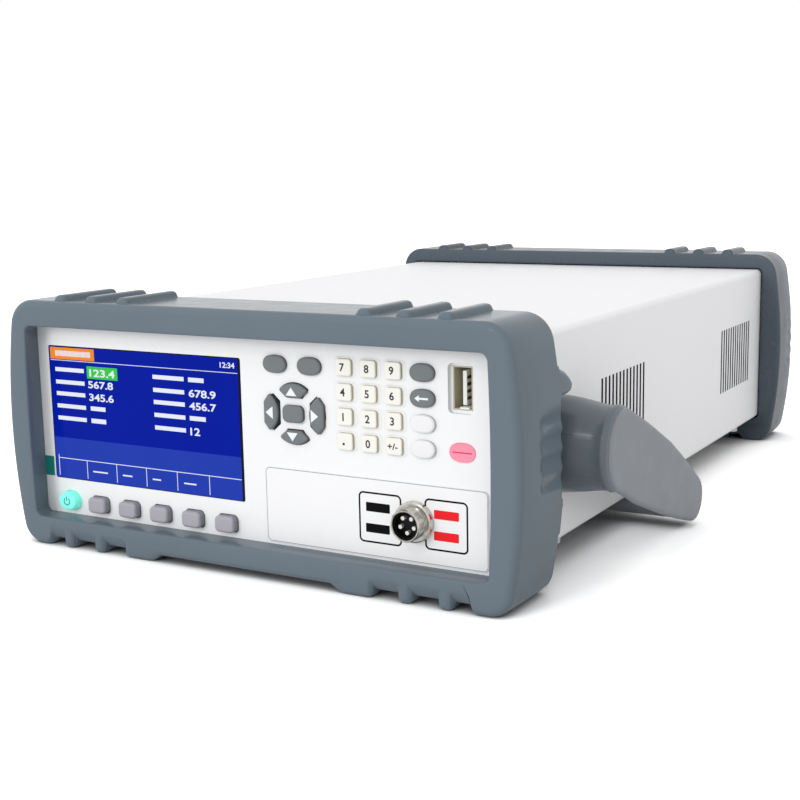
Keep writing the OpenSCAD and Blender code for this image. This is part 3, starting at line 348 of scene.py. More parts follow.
def lettering(text, centre, height, face, width=None, thick=0.03):
    # plain numbers as a flat mesh that stands on a face, fitted to a height and a width
    curve = bpy.data.curves.new("numberCurve", "FONT")
    curve.body = text
    curve.extrude = 0.02
    curve.offset = 0.022
    holder = bpy.data.objects.new("numberHolder", curve)
    bpy.context.scene.collection.objects.link(holder)
    bpy.context.view_layer.update()
    mesh = bpy.data.meshes.new_from_object(holder.evaluated_get(bpy.context.evaluated_depsgraph_get()))
    bpy.data.objects.remove(holder)
    bpy.data.curves.remove(curve)
    work = bmesh.new()
    work.from_mesh(mesh)
    bmesh.ops.remove_doubles(work, verts=work.verts, dist=1e-5)
    bmesh.ops.triangulate(work, faces=work.faces)
    work.to_mesh(mesh)
    work.free()
    co = np.empty(len(mesh.vertices) * 3)
    mesh.vertices.foreach_get("co", co)
    co = co.reshape(-1, 3)
    faces = np.empty(len(mesh.polygons) * 3, dtype=np.int32)
    mesh.polygons.foreach_get("vertices", faces)
    bpy.data.meshes.remove(mesh)
    low, high = co.min(axis=0), co.max(axis=0)
    size = high - low
    scaleZ = height / size[1]
    scaleX = width / size[0] if width else scaleZ
    flat = (co - (low + high) / 2)
    placed = np.stack([centre[0] + flat[:, 0] * scaleX, face - thick / 2 - flat[:, 2] / size[2] * thick,
                       centre[1] + flat[:, 1] * scaleZ], axis=1)
    return outward(placed, [faces.reshape(-1, 3)])


# the bumpers

bumperShape = dict(
    halfWidth=118.6, bow=5.4, corner=11.4, lowCorner=9.5, frontRound=3.0,
    backRound=1.6, ribs=(55.5, 71.9, 88.3), ribHalf=3.0, ribHeight=2.3, groundGap=2.6, padInner=46.0,
    cornerFoot=98.5, scoop=2.8, grooveRadius=4.6, grooveOut=3.5, groovePitch=7.3, grooveStart=18.6,
    openingHalf=108.3, mouthHalf=106.5, openingLow=12.0, openingHigh=92.2, openingBow=1.0, blend=0.3,
    flare=0.8, flareLength=20.0, pocket=(109.6, 10.4, 97.0), passage=(107.6, 12.4, 95.0),
    lugs=((71.9, 83.5), (22.5, 36.2)),
)


def barrel(halfW, low, high, bow, r, lowR, across, upright, bend):
    # a rectangle with bowed sides: the sides are arcs of radius (h2 + b2) / 2b through the bow,
    # the corners are arcs that meet them smoothly. Returns points and outward directions
    mid, halfH = (low + high) / 2, (high - low) / 2
    bow = max(bow, 0.002)
    sideR = (halfH * halfH + bow * bow) / (2 * bow)
    centre = halfW - sideR

    def corner(q):
        lean = math.asin((halfH - q) / (sideR - q))
        b = lean + (math.pi / 2 - lean) * bend
        away = np.stack([np.cos(b), np.sin(b)], 1)
        middle = np.array([centre + (sideR - q) * math.cos(lean), halfH - q])
        return lean, middle + q * away, away, middle[0]

    upLean, upArc, upAway, upX = corner(r)
    downLean, downArc, downAway, downX = corner(lowR)
    a = np.where(upright < 0, downLean, upLean) * upright
    sideAway = np.stack([np.cos(a), np.sin(a)], 1)
    side = np.array([centre, 0.0]) + sideR * sideAway
    level = np.tile([0.0, 1.0], (len(across), 1))
    top = np.stack([upX * across, np.full_like(across, halfH)], 1)
    foot = np.stack([-downX * across, np.full_like(across, -halfH)], 1)
    left, under, both = np.array([-1, 1]), np.array([1, -1]), np.array([-1, -1])
    points = [side, upArc, top, upArc[::-1] * left, side[::-1] * left, downArc * both, foot,
              downArc[::-1] * under]
    aways = [sideAway, upAway, level, upAway[::-1] * left, sideAway[::-1] * left, downAway * both, -level,
             downAway[::-1] * under]
    return np.concatenate(points) + [0, mid], np.concatenate(aways)


def smoothMax(a, b, k):
    # the greater of two heights, with a soft bend about k wide where they meet
    return (a + b + np.sqrt((a - b) ** 2 + k * k)) / 2 - k * 0.02


def bumperShell(groovesBack, depth, high):
    # the outside is the barrel outline moved along its directions by a height field: minus the edge
    # rounding, plus ribs with an elliptic section, minus the grooves; the inside steps through the
    # opening, the pocket for the panel and the passage for the case
    s = bumperShape
    x = np.concatenate([np.linspace(1, 0.94, 6), np.linspace(0.932, 0.44, 128), np.linspace(0.42, 0, 12)])
    across = np.concatenate([x, -x[-2::-1]])[1:-1]
    upright = np.linspace(-1, 1, 110)
    bend = np.linspace(0, 1, 15)[1:]
    mid = high / 2
    flat, away = barrel(s["halfWidth"], 0, high, s["bow"], s["corner"], s["lowCorner"], across, upright, bend)
    t = np.linspace(0, math.pi / 2, 11)
    f, b = s["frontRound"], s["backRound"]
    y = np.concatenate([f * (1 - np.cos(t)), np.arange(f + 0.5, 8.2, 0.5), np.arange(8.8, 17, 0.9),
                        np.arange(17.5, depth - b - 0.2, 0.5),
                        depth - b * (1 - np.cos(t[::-1][::2]))])[:, None]
    px, pz, nx, nz = flat[:, 0], flat[:, 1], away[:, 0], away[:, 1]
    rooted = np.zeros(len(px))
    for z0, z1 in (s["lugs"] if groovesBack else ()):
        rooted = np.where((np.abs(nx) > 0.9) & (pz > z0) & (pz < z1), 1.0, rooted)
    inset = np.where(y < f, f - np.sqrt(np.maximum(f * f - (f - y) ** 2, 0)), 0)
    inset = inset + (1 - rooted) * np.where(y > depth - b,
                                            b - np.sqrt(np.maximum(b * b - (y - depth + b) ** 2, 0)), 0)
    inset = inset + s["flare"] * np.maximum(1 - y / s["flareLength"], 0) ** 2 * np.abs(nx)
    up, down = nz > 0.9, nz < -0.9
    far = np.abs(px)
    step = lambda v: 1 / (1 + np.exp(-v / 0.45))
    under = step(s["cornerFoot"] - far) * down
    channel = under * step(far - 57.0)
    field = -inset - s["groundGap"] * under - s["scoop"] * channel * np.exp(-(y / 2.4) ** 2)

    def ridge(dx, height, level, front, slope, back):
        end = np.maximum(np.maximum((front + slope - y) / slope, (y - depth + back + 1.6) / 1.6), 0)
        left = 1 - (dx[None] / s["ribHalf"]) ** 3.2 - end ** 2.4
        return np.where(left > 0, level + height * np.sqrt(np.maximum(left, 0)), -12.0)

    for k, at in enumerate(s["ribs"]):
        dx = np.abs(far - at)
        rib = ridge(dx, s["ribHeight"], 0.0, 3.0, 2.4, 0.1)
        field = np.where(up, smoothMax(field, rib, s["blend"]), field)
        if k == 0:
            dx = np.maximum(np.maximum(far - at, s["padInner"] - far), 0)
        foot = ridge(dx, s["groundGap"] - 0.02, -s["groundGap"], 0.1, 2.6, 0.2)
        field = np.where(down, smoothMax(field, foot, s["blend"]), field)
    drop = (pz - mid) ** 2 / 500
    for i in range(4):
        dz = pz - (layout["caseMid"] + 1.3 + (i - 1.5) * s["groovePitch"])
        dy = np.maximum(s["grooveStart"] - (y if groovesBack else depth - y), 0)
        d2 = dz[None] ** 2 + dy ** 2
        cut = np.sqrt(np.maximum(s["grooveRadius"] ** 2 - d2, 0)) - s["grooveOut"] - drop[None]
        field = np.where(np.abs(nx) > 0.9, -smoothMax(-field, cut, 0.35), field)
    outer = flat[None] + away[None] * field[..., None]
    outer = np.concatenate([outer[..., :1], np.broadcast_to(y[..., None], (*outer.shape[:2], 1)),
                            outer[..., 1:]], axis=-1)

    def inner(place, outline, grow):
        p, n = outline
        q = p + n * grow
        return np.stack([q[:, 0], np.full(len(q), place), q[:, 1]], axis=1)

    def shape(halfW, low, high, bow, r):
        return barrel(halfW, low, high, bow, r, r, across, upright, bend)

    mouth = shape(s["mouthHalf"], s["openingLow"], s["openingHigh"], s["openingBow"], 3.0)
    throat = shape(s["openingHalf"], s["openingLow"], s["openingHigh"], 0, 2.4)
    pocket = shape(*s["pocket"], 0, 0.6)
    passage = shape(*s["passage"], 0, 2.5)
    inside = []
    for place, grow in [(0.0, 0.8), (0.1, 0.42), (0.35, 0.12), (0.8, 0.0)]:
        inside.append(inner(place, mouth, grow))
    for part in (0.35, 0.7, 1.0):
        a, c = inner(0.8, mouth, 0), inner(10.0, throat, 0)
        inside.append(a + (c - a) * part)
    inside += [inner(10.0, pocket, 0), inner(12.51, pocket, 0), inner(12.51, passage, 0),
               inner(20, passage, 0)]
    for place, grow in [(depth - 1.4, 0), (depth - 0.8, 0.12), (depth - 0.3, 0.5), (depth, 1.2)]:
        inside.append(inner(place, passage, grow))
    inside = np.stack(inside)
    rings = np.concatenate([outer[::-1], inside])
    return skin(rings, loop=True)


lugShape = dict(
    upper=[(31.0, 82.2), (35.3, 81.4), (40.0, 79.6), (43.3, 77.4), (44.6, 75.9), (43.9, 75.0),
           (41.6, 74.6), (31.0, 74.4)],
    lower=[(28.6, 34.7), (34.4, 34.1), (35.5, 33.3), (34.9, 32.3), (31.5, 27.9), (28.6, 24.4)],
    edge=1.8, inner=108.0, outer=118.56, bowed=500,
)


def lugShell(core):
    # an outline in the side view, made of a core widened by the edge radius, carried across and
    # drawn in at both ends along a quarter circle; the outer face follows the bumper's bowed side
    s = lugShape
    c, r, away = softOutline(core, s["edge"], 72)
    rows = [(0.0, 0.6), (0.6, 0.0), (8.0, 0.0)]
    rows += [(10.0 + s["edge"] * (math.sin(a) - 1), s["edge"] * (1 - math.cos(a)))
             for a in np.radians([0, 25, 45, 62, 76, 90])]
    rings = []
    for part, inset in rows:
        p = c + away * (r - inset)[:, None]
        face = s["outer"] - (p[:, 1] - 51.6) ** 2 / s["bowed"]
        x = s["inner"] + (face - s["inner"]) * part / 10.0
        rings.append(np.stack([x, p[:, 0], p[:, 1]], axis=1))
    return skin(np.stack(rings))


lugs = [lugShell(lugShape["upper"]), lugShell(lugShape["lower"])]
frontDepth, frontHigh, rearDepth, rearHigh = 35.3, 102.8, 30.0, 102.6
frontShells = [bumperShell(True, frontDepth, frontHigh)] + lugs + [mirrored(lug) for lug in lugs]
rearShell = mirrored(bumperShell(False, rearDepth, rearHigh), 1, layout["overall"] / 2)
addPiece("frontBumperShell", frontShells, "bumper",
         "instrument", ["front_bumper"], sharp=50)
# the rear bumper's darker finish is painted shade
addPiece("rearBumperShell", [rearShell], "bumperDark",
         "instrument", ["rear_bumper"], sharp=50)
print("bumpers made")


# the handle

armShape = dict(
    pivot=(57.5, 51.0), circles=[(60.6, 50.2, 15.6), (82.6, 40.45, 15.95), (107.7, 29.85, 14.85),
                                 (120.6, 23.95, 13.55), (133.5, 18.05, 11.9), (146.35, 12.2, 9.9)],
    inner=129.3, outer=131.95, edge=1.9, drumInner=107.4, drumRadius=18.3, boreRadius=9.05,
)


def armShells():
    # the leaf is the edge of six circles along the arm, drawn in at the outer face on a quarter
    # circle; the neck and its blind bore are one profile turned about the pivot
    s = armShape
    circles = np.array(s["circles"])
    c, r, away = softOutline(circles[:, :2], circles[:, 2], 240)
    rows = [(s["inner"], 0.8), (s["inner"] + 0.15, 0.3), (s["inner"] + 0.5, 0.0)]
    for a in np.linspace(0, 90, 9):
        rows.append((s["outer"] - s["edge"] * (1 - math.sin(math.radians(a))),
                     s["edge"] * (1 - math.cos(math.radians(a)))))
    rows += [(s["outer"], 4.0), (s["outer"], 7.0), (s["outer"], 9.5)]
    rings = []
    for x, inset in rows:
        p = c + away * np.maximum(r - inset, 0.05)[:, None]
        rings.append(np.stack([np.full(len(p), x), p[:, 0], p[:, 1]], axis=1))
    leaf = skin(np.stack(rings))
    x0, big = s["drumInner"], s["drumRadius"]
    profile = [(131.3, 0.4), (131.3, 13.6), (131.15, 14.8), (130.7, 15.7), (130.1, 16.15), (129.4, 16.2),
               (128.7, 15.98), (127.9, 15.78), (126.9, 15.72), (125.0, 15.9), (122.0, 16.45), (118.0, 17.15),
               (114.0, 17.8), (111.0, 18.12),
               (x0 + 1.0, big), (x0 + 0.4, big - 0.15), (x0 + 0.1, big - 0.4), (x0, big - 0.8), (x0, 13.4),
               (109.0, 13.4), (109.0, s["boreRadius"]), (123.4, s["boreRadius"]), (123.4, 0.4)]
    # the mould line is a thin bar along the neck, just proud of it, at an angle above the front; its dark
    # colour is painted shade along the parting line
    side, x, a = np.array(profile[8:14]), np.linspace(112, 128, 12), math.radians(156)
    radius = np.interp(x, side[::-1, 0], side[::-1, 1])
    rings, (py, pz) = [], s["pivot"]
    section = ((-0.3, -0.13), (0.02, -0.13), (0.02, 0.13), (-0.3, 0.13))
    for k in range(len(x)):
        corners = [(radius[k] + h, a + w / radius[k]) for h, w in section]
        rings.append([(x[k], py + q * math.cos(b), pz + q * math.sin(b)) for q, b in corners])
    return [leaf, skin(turned(profile, s["pivot"], 0, 128)), skin(np.array(rings))]


arm = armShells()
for name, shells, node in (("rightArm", arm, "handle_arm_right"),
                           ("leftArm", [mirrored(p) for p in arm], "handle_arm_left")):
    addPiece(name, [(shell, k) for k, shell in enumerate(shells)], ["handle", "neck", "bumperDark"],
             "handle", [node], sharp=42)
print("handle made")


# the keys

softX = [-78.204 + 16.45 * i for i in range(5)]
padX = (43.85, 54.2, 64.55)
padZ = (82.65, 73.5, 64.35, 55.2)
keyShape = dict(
    soft=dict(core=(9.2, 6.6), corner=1.9, out=3.5, edge=1.0, dish=0.06),
    number=dict(core=(8.0, 6.9), corner=1.3, out=1.45, edge=0.4, dish=0.04, draft=0.15, cap=(6.9, 6.6),
                shift=-0.5),
    enter=dict(core=(9.8, 6.9), corner=2.3, out=1.8, edge=0.8, dish=-0.05, cap=(9.4, 6.8), shift=-0.3),
    oval=dict(core=(10.8, 7.0), corner=2.9, out=1.8, edge=0.8, dish=-0.06, cap=(10.5, 7.0), shift=-0.35),
    smallOval=dict(core=(10.8, 7.0), corner=2.9, out=1.7, edge=0.8, dish=-0.06, cap=(10.1, 6.8), shift=-0.5),
    up=dict(lens=(12.4, 5.5, 6.8, 3.2), corner=0.9, out=1.8, edge=0.8, dish=-0.05),
    side=dict(lens=(13.9, 6.6, 8.5, 2.8), corner=0.9, out=1.8, edge=0.8, dish=-0.05),
    power=dict(core=(9.6, 7.8), corner=2.6, out=3.5, edge=0.9, dish=-0.12),
)
keyDepths = dict(flangeFront=12.8, flangeBack=14.0, stemBack=15.0, stemRadius=1.4, flange=0.5)


def keyCore(kind, size="core"):
    # the corners of a key's outline, drawn in by its corner radius
    s = keyShape[kind]
    r = s["corner"]
    if "lens" in s:
        length, deep, flat, tip = s["lens"]
        half, rise = length / 2, deep - tip
        arcR = (half * half + rise * rise) / (2 * rise)
        spread = math.asin((half - r) / (arcR - r)) * 0.985
        a = np.linspace(-spread, spread, 61)
        arc = np.stack([(arcR - r) * np.sin(a), deep / 2 - arcR + (arcR - r) * np.cos(a)], 1)
        foot = np.array([[flat / 2 - 0.55 * r, -deep / 2 + r], [-flat / 2 + 0.55 * r, -deep / 2 + r]])
        return np.concatenate([arc, foot])
    w, h = s[size][0] / 2 - r, s[size][1] / 2 - r
    if kind in ("oval", "smallOval", "power"):
        a = np.linspace(0, turn, 97)[:-1]
        swell = lambda v: np.sign(v) * np.abs(v) ** (1.0 if kind == "power" else 0.88)
        return np.stack([w * swell(np.cos(a)), h * swell(np.sin(a))], 1)
    return np.array([[w, h], [-w, h], [-w, -h], [w, -h]]) + 1e-6


def keyShell(kind, centre, spin=0):
    # each ring is the core, shrunk by a share, widened by a radius; the sides go straight to the
    # panel, a flat collar leads to the cap, whose edge turns over on a quarter circle, and the face
    # dips or swells a little
    s, d = keyShape[kind], keyDepths
    core, _, away = softOutline(keyCore(kind), 0, 96)
    cap = softOutline(keyCore(kind, "cap"), 0, 96)[0] + (s["shift"], 0) if "cap" in s else core
    face, r, e = panelFace - s["out"], s["corner"], s["edge"]
    fill = 0.27 if "cap" in s else 0.0
    draft = s.get("draft", 0.06)
    rows = [(d["stemBack"], 0, d["stemRadius"]), (d["flangeBack"], 0, d["stemRadius"]),
            (d["flangeBack"], 1, r + d["flange"]), (d["flangeFront"], 1, r + d["flange"]),
            (d["flangeFront"], 1, r + fill), (panelFace - 0.03, 1, r + fill)]
    rr = r - draft
    rows.append((panelFace - 0.06, 1, rr))
    rows.append((face + e, 1, rr))
    for a in (22, 45, 68, 90):
        rows.append((face + e * (1 - math.sin(math.radians(a))), 1,
                     max(rr - e * (1 - math.cos(math.radians(a))), 0.02)))
    left = max(rr - e, 0.02)
    lift = 0.12 if s["dish"] < 0 else 0
    for share in (0.75, 0.45, 0.15):
        rows.append((face + s["dish"] * (1 - share ** 2) + lift, share, left * share))
    if s["dish"] < 0:
        rows = [(y + (lift if y < face + e else 0), w, q) for y, w, q in rows[:12]] + rows[12:]
    a = math.radians(spin)
    wheel = np.array([[math.cos(a), math.sin(a)], [-math.sin(a), math.cos(a)]])
    rings = []
    for k, (y, w, q) in enumerate(rows):
        p = (w * (core if k < 6 else cap) + q * away) @ wheel + centre
        rings.append(np.stack([p[:, 0], np.full(len(p), y), p[:, 1]], axis=1))
    # the side walls take the darker side finish, which is painted shade; on capped keys the collar takes the
    # panel's colour
    collar = 2 if "cap" in s else 1
    sides = np.repeat([collar * (k in (4, 5)) + (k == 6) for k in range(len(rows) - 1)], len(core))
    ends = np.zeros(len(core), dtype=int)
    return skin(np.stack(rings)), [sides, ends, ends]


def arrowMark(centre, angle):
    # a triangle, 3.2 high and 4.8 wide, whose tip points along an angle
    a = math.radians(angle)
    along, across = np.array([math.cos(a), math.sin(a)]), np.array([-math.sin(a), math.cos(a)])
    foot = -1.5 * along
    return np.array(centre) + np.array([1.7 * along, foot + 2.4 * across, foot - 2.4 * across])


clusterX, clusterZ = 20.9, 63.65
powerX = -94.277
keys = [("power_key", "power", powerX, 17.9, 0, "litKey", "lit_key")]
keys += [("soft_key_%d" % (i + 1), "soft", softX[i], 17.6, 0, "softKey", "soft_key") for i in range(5)]
keys += [
    ("display_key", "oval", 13.2, 82.1, 0, "darkKey", "dark_key"),
    ("setup_key", "oval", 28.6, 82.1, 0, "darkKey", "dark_key"),
    ("up_key", "up", clusterX, clusterZ + 8.9, 0, "darkKey", "dark_key"),
    ("down_key", "up", clusterX, clusterZ - 8.9, 180, "darkKey", "dark_key"),
    ("left_key", "side", clusterX - 10.2, clusterZ, 90, "darkKey", "dark_key"),
    ("right_key", "side", clusterX + 10.2, clusterZ, -90, "darkKey", "dark_key"),
    ("enter_key", "enter", clusterX, clusterZ, 0, "darkKey", "dark_key"),
    ("escape_key", "smallOval", 76.3, padZ[0], 0, "darkKey", "dark_key"),
    ("back_key", "smallOval", 76.3, padZ[1], 0, "darkKey", "dark_key"),
    ("lock_key", "smallOval", 76.3, padZ[2], 0, "clearKey", "clear_key"),
    ("trigger_key", "smallOval", 76.3, padZ[3], 0, "clearKey", "clear_key"),
]
marks = {}
for row in range(3):
    for col in range(3):
        digit = 7 - 3 * row + col
        keys.append(("key_%d" % digit, "number", padX[col], padZ[row], 0, "ivoryKey", "ivory_key"))
        marks["key_%d" % digit] = str(digit)
keys += [("key_point", "number", padX[0], padZ[3], 0, "ivoryKey", "ivory_key"),
         ("key_0", "number", padX[1], padZ[3], 0, "ivoryKey", "ivory_key"),
         ("key_sign", "number", padX[2], padZ[3], 0, "ivoryKey", "ivory_key")]
marks.update({"key_0": "0", "key_sign": "+/-"})
# each key colour with its darker side finish, painted shade; the lit key keeps its own colour on its sides
sideShades = dict(ivoryKey="ivorySideShade", darkKey="darkSideShade", clearKey="clearSideShade", softKey="softSideShade", litKey="litKey")
markShift = 0.9

for node, kind, x, z, spin, look, slotName in keys:
    carrier = node + "_body"
    addPiece(node + "Cap", [keyShell(kind, (x, z), -spin)], [look, sideShades[look], "panel"], carrier,
             [node], sharp=50)
    face = panelFace - keyShape[kind]["out"] + max(keyShape[kind]["dish"], 0)
    if node in marks:
        wide = 4.2 if node == "key_sign" else None
        tall = 2.4 if node == "key_sign" else 3.0
        addPiece(node + "Mark", [lettering(marks[node], (x - markShift, z), tall, face - 0.01, wide)], "ink",
                 carrier)

frontFace = panelFace - 1.8 + 0.02
dot = softOutline([(padX[0] - markShift, padZ[3] - 0.9)], 0.5, 20)
pointFace = panelFace - keyShape["number"]["out"] + 0.03
addPiece("key_pointMark", [prism(dot[0] + dot[2] * 0.5, pointFace - 0.03, pointFace + 0.03)], "ink",
         "key_point_body")
for node, angle, at in (("up_key", 90, (clusterX - 0.4, clusterZ + 8.5)),
                        ("down_key", -90, (clusterX - 0.4, clusterZ - 8.5)),
                        ("left_key", 180, (clusterX - 10.5, clusterZ)),
                        ("right_key", 0, (clusterX + 9.7, clusterZ))):
    addPiece(node + "Mark", [prism(arrowMark(at, angle), frontFace - 0.05, frontFace + 0.12)], "paleInk",
             node + "_body")
bx, bz = 76.3, padZ[1]
backMark = [(bx - 3.2, bz), (bx - 1.4, bz - 1.2), (bx - 1.4, bz - 0.36), (bx + 2.3, bz - 0.36),
            (bx + 2.3, bz + 0.36), (bx - 1.4, bz + 0.36), (bx - 1.4, bz + 1.2)]
addPiece("back_keyMark", [prism(backMark, frontFace + 0.03, frontFace + 0.2)], "paleInk", "back_key_body")
powerFace = panelFace - 3.5
powerY = (powerFace - 0.04, powerFace + 0.1)
addPiece("power_keyMark", [band((powerX, 17.9), 1.3, 1.72, 125, 415, *powerY),
                           boxes([(powerX - 0.21, powerX + 0.21, 18.1, 20.0)], *powerY)],
         "tealInk", "power_key_body")
print("keys made:", len(keys))


# the test socket and the USB contacts

socketShape = dict(at=(71.9, 28.4), radius=6.0, front=1.7, flangeRadius=7.65, flangeFront=7.1, back=18.5,
                   bore=5.15, pitch=0.9, threadDepth=0.42)


def socketShell():
    # outside, the radius follows a saw-tooth of the place along the axis plus the angle, which winds
    # a thread; inside it is a plain bore
    s = socketShape
    front, back, count, wide, y1 = s["front"], s["back"], 96, s["flangeRadius"], s["flangeFront"]
    rows = [(back, s["bore"]), (back, s["radius"]), (9.5, s["radius"]), (9.5, wide - 0.15),
            (9.35, wide), (y1 + 0.75, wide), (y1 + 0.35, wide - 0.12), (y1 + 0.1, wide - 0.4),
            (y1, wide - 0.8), (y1, s["radius"] + 0.35), (y1 - 0.1, s["radius"] - 0.3)]
    rows += [(y, s["radius"]) for y in np.arange(y1 - 0.2, front + 0.4, -0.1)]
    rows += [(front + 0.3, s["radius"] - 0.15), (front, s["radius"] - 0.35), (front, s["bore"] + 0.1),
             (front + 0.15, s["bore"])]
    ring = turned(rows, s["at"], 1, count)
    angle = np.arange(count) * turn / count
    along = np.array([r[0] for r in rows])[:, None]
    phase = (along / s["pitch"] + angle[None] / turn) % 1
    tooth = np.abs(phase * 2 - 1) * s["threadDepth"]
    inThread = (np.abs(np.array([r[1] for r in rows]) - s["radius"]) < 0.01) & (along[:, 0] < y1)
    ease = np.clip(np.minimum(y1 - 0.9 - along[:, 0], along[:, 0] - front - 0.5) / 0.4, 0, 1) * inThread
    pull = tooth * ease[:, None]
    ring[..., 0] -= pull * np.cos(angle)
    ring[..., 2] -= pull * np.sin(angle)
    # the bottom of the thread and the bore take the near-black finish: painted shade in the grooves and the
    # bore
    inBore = np.array([r[1] for r in rows])[:, None] < s["bore"] + 0.05
    deep = (tooth > 0.2) & (ease[:, None] > 0.5) | inBore
    return skin(ring, loop=True), [deep.astype(int).ravel()]


addPiece("threadedSocket", [socketShell()], ["threadMetal", "threadShade"], "instrument",
         ["socket_shell"], sharp=30)
usbX, usbZ = 90.6, 77.75
addPiece("usbTongue", [boxes([(usbX - 0.35, usbX + 1.1, usbZ - 6.0, usbZ + 6.0)], 12.6, 23.8)], "white",
         "instrument", ["usb_tongue"])
contactRows = [(usbX + 1.05, usbX + 1.2, usbZ + k - 0.55, usbZ + k + 0.55) for k in (-3.7, -1.25, 1.25, 3.7)]
addPiece("usbContacts", [boxes(contactRows, 13.0, 21.0)], "darkMetal", "instrument")
addPiece("usbSpring", [boxes([(usbX - 0.9, usbX + 2.6, usbZ - 7.35, usbZ - 6.65)], 11.2, 15.0)], "white",
         "instrument")
print("sockets made")


# the prints on the plate and on the result lamp

plateFace = layout["plateFace"]
printY = (plateFace - 0.03, plateFace + 0.02)


def roundedBlock(x0, x1, z0, z1, r, y0, y1):
    # a flat block: each corner point, drawn in by r, is widened by r again in every direction
    c, _, away = softOutline([(x1 - r, z1 - r), (x0 + r, z1 - r), (x0 + r, z0 + r), (x1 - r, z0 + r)], 0, 32)
    return prism(c + away * r, y0, y1)


def roundedFrame(x0, x1, z0, z1, r, w, y0, y1):
    # a printed line of width w round a rectangle with rounded corners
    c, _, away = softOutline([(x1 - r, z1 - r), (x0 + r, z1 - r), (x0 + r, z0 + r), (x1 - r, z0 + r)], 0, 64)
    rings = [np.insert(c + away * q, 1, y, axis=1) for q, y in ((r - w, y0), (r, y0), (r, y1), (r - w, y1))]
    return skin(np.stack(rings), loop=True)


addPiece("terminalLines", [roundedFrame(48.25, 66.3, 18.1, 37.25, 2.0, 0.68, *printY),
                           roundedFrame(75.85, 93.3, 18.55, 37.5, 2.0, 0.68, *printY)],
         "blackInk", "instrument")
deeper = (printY[0] - 0.01, printY[1])
addPiece("blackBlocks", [roundedBlock(51.35, 61.45, 29.9, 33.35, 0.4, *deeper),
                         roundedBlock(51.15, 61.25, 22.0, 25.4, 0.4, *deeper)],
         "blackInk", "instrument")
addPiece("redBlocks", [roundedBlock(79.65, 89.65, 30.25, 33.55, 0.4, *deeper),
                       roundedBlock(79.5, 89.55, 22.35, 25.7, 0.4, *deeper)], "redInk", "instrument")
addPiece("plateEdgeLine",
         [roundedFrame(6.75, 101.05, 13.2, 42.2, 2.0, 0.28, plateFace - 0.02, plateFace + 0.02)],
         "greyInk", "instrument")
addPiece("filmTab", [boxes([(-108.3, -103.4, 27.4, 35.8)], panelFace - 0.05, panelFace + 0.02)], "tealFilm",
         "instrument")
# dark strips fill each side slot just under the cover's face: painted shade inside the vents
slotY = [99.85 + 162 * g + 4 * i for g in range(2) for i in range(13)]
addPiece("ventSlotShade", [boxes([(-106.93, -105.5, 37.05, 68.95), (105.5, 106.93, 37.05, 68.95)], y, y + 1.9)
                         for y in slotY], "darkFilm", "instrument")
lampFace = panelFace - 0.3
addPiece("lampLine", [boxes([(87.3, 94.9, 54.95, 55.45)], lampFace - 0.03, lampFace + 0.1)], "pinkInk",
         "instrument")
print("prints made")


# the screen

screenFace = 10.0


def screenPieces():
    # flat lit plates in three layers: the fields, the tab and the lines on them, then one number
    y = screenFace
    layer = [(y - 0.02, y + 0.2), (y - 0.04, y + 0.1), (y - 0.06, y + 0.1)]
    for name, box, place, ink in (("screenField", (-102.2, -5.0, 44.5, 82.8), 0, "screenBlue"),
                                  ("screenFoot", (-102.2, -5.0, 27.2, 44.5), 0, "screenPale"),
                                  ("screenTab", (-101.7, -77.6, 77.7, 82.6), 1, "screenOrange"),
                                  ("screenPick", (-82.0, -65.6, 70.4, 75.5), 1, "screenGreen")):
        addPiece(name, [boxes([box], *layer[place])], ink, "instrument")
    lines = [(-101.7, -5.2, 77.1, 77.35), (-100.5, -5.2, 35.45, 35.75), (-100.6, -100.3, 28.1, 37.0)]
    lines += [(x - 0.15, x + 0.15, 27.9, 35.6) for x in (-84.8, -68.7, -52.9, -37.0, -20.9)]
    rows = [(71.4, 75.3), (66.3, 69.9), (61.3, 65.1), (56.1, 59.9), (50.9, 54.8)]
    bars = [(-99.0, -79.6, 79.0, 81.3)]
    for k, (z0, z1) in enumerate(rows):
        m, h = (z0 + z1) / 2, 0.85
        bars.append((-99.4, -83.6, m - h, m + h))
        bars.append((-47.2, -31.5, m - h, m + h))
    bars += [(-81, -73, 57.1, 58.9), (-81, -73, 51.9, 53.8), (-29.3, -21.6, 72.4, 74.2),
             (-29.3, -21.4, 57.1, 58.9)]
    bars += [(-81.7, -73.7, 31.0, 31.6), (-65.6, -60.5, 31.0, 31.6), (-49.8, -45.5, 31.0, 31.6),
             (-33.7, -27.5, 31.0, 31.6)]
    addPiece("screenLines", [boxes(lines + bars, *layer[1])], "screenWhite", "instrument")
    # plain numbers, chosen to mean nothing
    words = [("123.4", (-73.8, 72.85), 3.1, 13.6, 2), ("567.8", (-74.95, 67.95), 3.1, 13.4, 1),
             ("345.6", (-74.85, 62.7), 3.1, 13.2, 1), ("678.9", (-22.65, 67.95), 3.1, 13.2, 1),
             ("456.7", (-22.65, 62.9), 3.1, 13.2, 1), ("12", (-26.9, 52.7), 3.1, 4.8, 1),
             ("12:34", (-9.95, 80.1), 2.2, 7.0, 1)]
    shells = [lettering(t, at, h, screenFace - 0.02 * (n + 1), w) for t, at, h, w, n in words]
    addPiece("screenNumbers", shells, "screenWhite", "instrument")


screenPieces()
print("screen made")


# the finishes of the CAD parts

